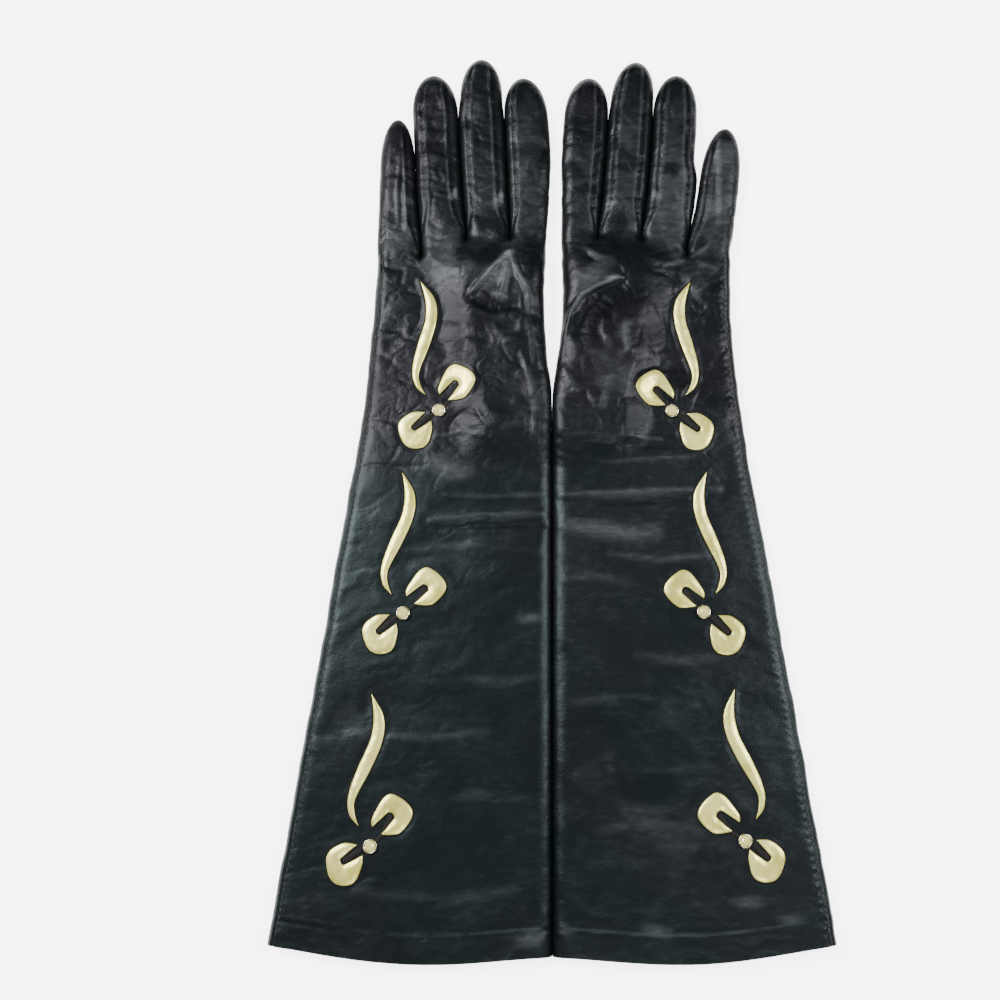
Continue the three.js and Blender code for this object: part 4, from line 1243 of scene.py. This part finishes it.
def build_stone(glove, bow, centre, body):
    """A round cup with a rolled rim and claws, and a cut stone."""
    base = float(glove.top_of(*centre[:, None])[0]) + 0.1
    at = (*centre, base)
    points, faces = lathe(at, CUP, 36)
    grips, _ = lathe(at, [(CLAWS["radius"], CLAWS["height"])], CLAWS["count"], 0.5)
    for grip in grips:
        add_to(points, faces, *lathe(grip, CLAW, 8))
    setting = mesh_object(f"{glove.name}_{bow}_claw_setting", np.array(points), faces, METAL, glove)
    finished(setting, [f"{glove.name}_{bow}_setting"], body=body)
    cut_stone(glove, bow, at, body)


def cut_stone(glove, bow, at, body):
    """A round brilliant's crown: a girdle, two rings of facets and a flat table."""
    around = 2 * FACETS
    rings = [(GIRDLE, 0.7, around, 0), (GIRDLE, 1.15, around, 0), (STAR, 1.85, FACETS, 0.5)]
    points = []
    for r, z, sides, turn in [*rings, (TABLE, 2.2, FACETS, 0)]:
        points += lathe(at, [(r, z)], sides, turn)[0]
    faces = ring_faces(2, around)
    girdle, upper, top = around, 2 * around, 2 * around + FACETS
    for k in range(FACETS):
        a, b, c = [girdle + (2 * k + step) % around for step in range(3)]
        following = (k + 1) % FACETS
        faces += [(a, b, upper + k), (b, c, upper + k)]
        faces += [(c, upper + following, top + following), (c, top + following, upper + k)]
        faces.append((upper + k, top + following, top + k))
    faces.append(tuple(top + k for k in range(FACETS)))
    stone = mesh_object(f"{glove.name}_{bow}_cut_stone", np.array(points), faces, CRYSTAL, glove)
    stone.data.polygons.foreach_set("use_smooth", [False] * len(stone.data.polygons))
    finished(stone, [f"{glove.name}_{bow}_stone"], body=body)


def read_bows(glove):
    """Marks where the ornaments lie, so that the folds die out under them."""
    for number in BOWS:
        for piece in ("tail", *LOOPS):
            glove.bow_masks.append(top_outline(glove, f"bow{number}_{piece}"))


def build_bows(glove):
    for number in BOWS:
        bow, body = f"bow{number}", f"{glove.name}_{'hand' if number == 1 else 'sleeve'}"
        stone = glove.points(f"{bow}_stone")[:, :2]
        centre = (stone.min(0) + stone.max(0)) / 2
        for piece in ("tail", *LOOPS):
            build_applique(glove, f"{bow}_{piece}", body, f"{glove.name}_{bow}_{piece}_gold")
            if piece in LOOPS:
                loop = top_outline(glove, f"{bow}_{piece}")
                build_stem(glove, loop, centre, f"{glove.name}_{bow}_{piece}_stem", body)
        build_stone(glove, bow, centre, body)


# ---- Floor, light and camera ----


FLOOR_SIZE, FLOOR_GLOW = 6.0, 4.6
WORLD_LIGHT = 0.07
LAMPS = [  # azimuth, elevation, distance, width, height, watts
    (-118, 50, 1.3, 0.55, 0.4, 30),
    (100, 48, 1.3, 0.4, 0.4, 16),
    (10, 50, 1.4, 0.5, 0.3, 8),
]
CAMERA = {"elevation": 78.0, "distance": 0.576, "lens": 42.5, "shift": -0.049}
AIM = (-0.0015, -0.0127, 0.009)  # where the lens's axis meets the gloves


def build_floor():
    n = Nodes("pale_floor")
    n.set(Base_Color=n.mix(n.noise(3, 2, 0.5), colour(0.93, 0.93, 0.93), colour(0.9, 0.9, 0.905)))
    n.set(Roughness=0.9, Specular_IOR_Level=0.1)
    n.set(Emission_Color=colour(1, 1, 1), Emission_Strength=FLOOR_GLOW)
    corners = [(-1, -1), (1, -1), (1, 1), (-1, 1)]
    data = bpy.data.meshes.new("floor")
    points = [(x * FLOOR_SIZE, y * FLOOR_SIZE, frame_low.z) for x, y in corners]
    data.from_pydata(points, [], [(0, 1, 2, 3)])
    data.materials.append(n.material)
    floor = bpy.data.objects.new("floor", data)
    bpy.context.scene.collection.objects.link(floor)


def place(thing, target, away, distance):
    """Puts a lamp or camera at a distance from its target, facing it."""
    thing.location = target + away * distance
    thing.rotation_mode = "QUATERNION"
    thing.rotation_quaternion = away.to_track_quat("Z", "Y")
    bpy.context.scene.collection.objects.link(thing)


def direction(azimuth, elevation):
    """The unit vector towards a lamp or camera, in degrees, with azimuth 0 at the cuffs' side."""
    a, e = math.radians(azimuth), math.radians(elevation)
    return Vector((math.sin(a) * math.cos(e), -math.cos(a) * math.cos(e), math.sin(e)))


def build_lights(centre):
    world = bpy.data.worlds.new("studio")
    world.use_nodes = True
    background = world.node_tree.nodes["Background"]
    background.inputs["Color"].default_value = (1, 1, 1, 1)
    background.inputs["Strength"].default_value = WORLD_LIGHT
    bpy.context.scene.world = world
    for number, (azimuth, elevation, distance, width, height, watts) in enumerate(LAMPS):
        data = bpy.data.lights.new(f"softbox_{number}", "AREA")
        data.shape, data.size, data.size_y, data.energy = "RECTANGLE", width, height, watts
        lamp = bpy.data.objects.new(data.name, data)
        place(lamp, centre, direction(azimuth, elevation), distance)


def build_camera():
    data = bpy.data.cameras.new("camera")
    data.lens, data.sensor_width, data.shift_x = CAMERA["lens"], 36.0, CAMERA["shift"]
    data.clip_start, data.clip_end = 0.02, 20
    camera = bpy.data.objects.new("camera", data)
    place(camera, Vector(AIM), direction(0, CAMERA["elevation"]), CAMERA["distance"])
    bpy.context.scene.camera = camera


# ---- The whole ----

for glove in (Glove("left"), Glove("right")):
    read_bows(glove)
    build_body(glove)
    for finger in FINGERS:
        build_finger(glove, finger)
    build_thumb(glove)
    build_stitches(glove)
    build_bows(glove)

build_floor()
build_lights((frame_low + frame_high) / 2)
build_camera()
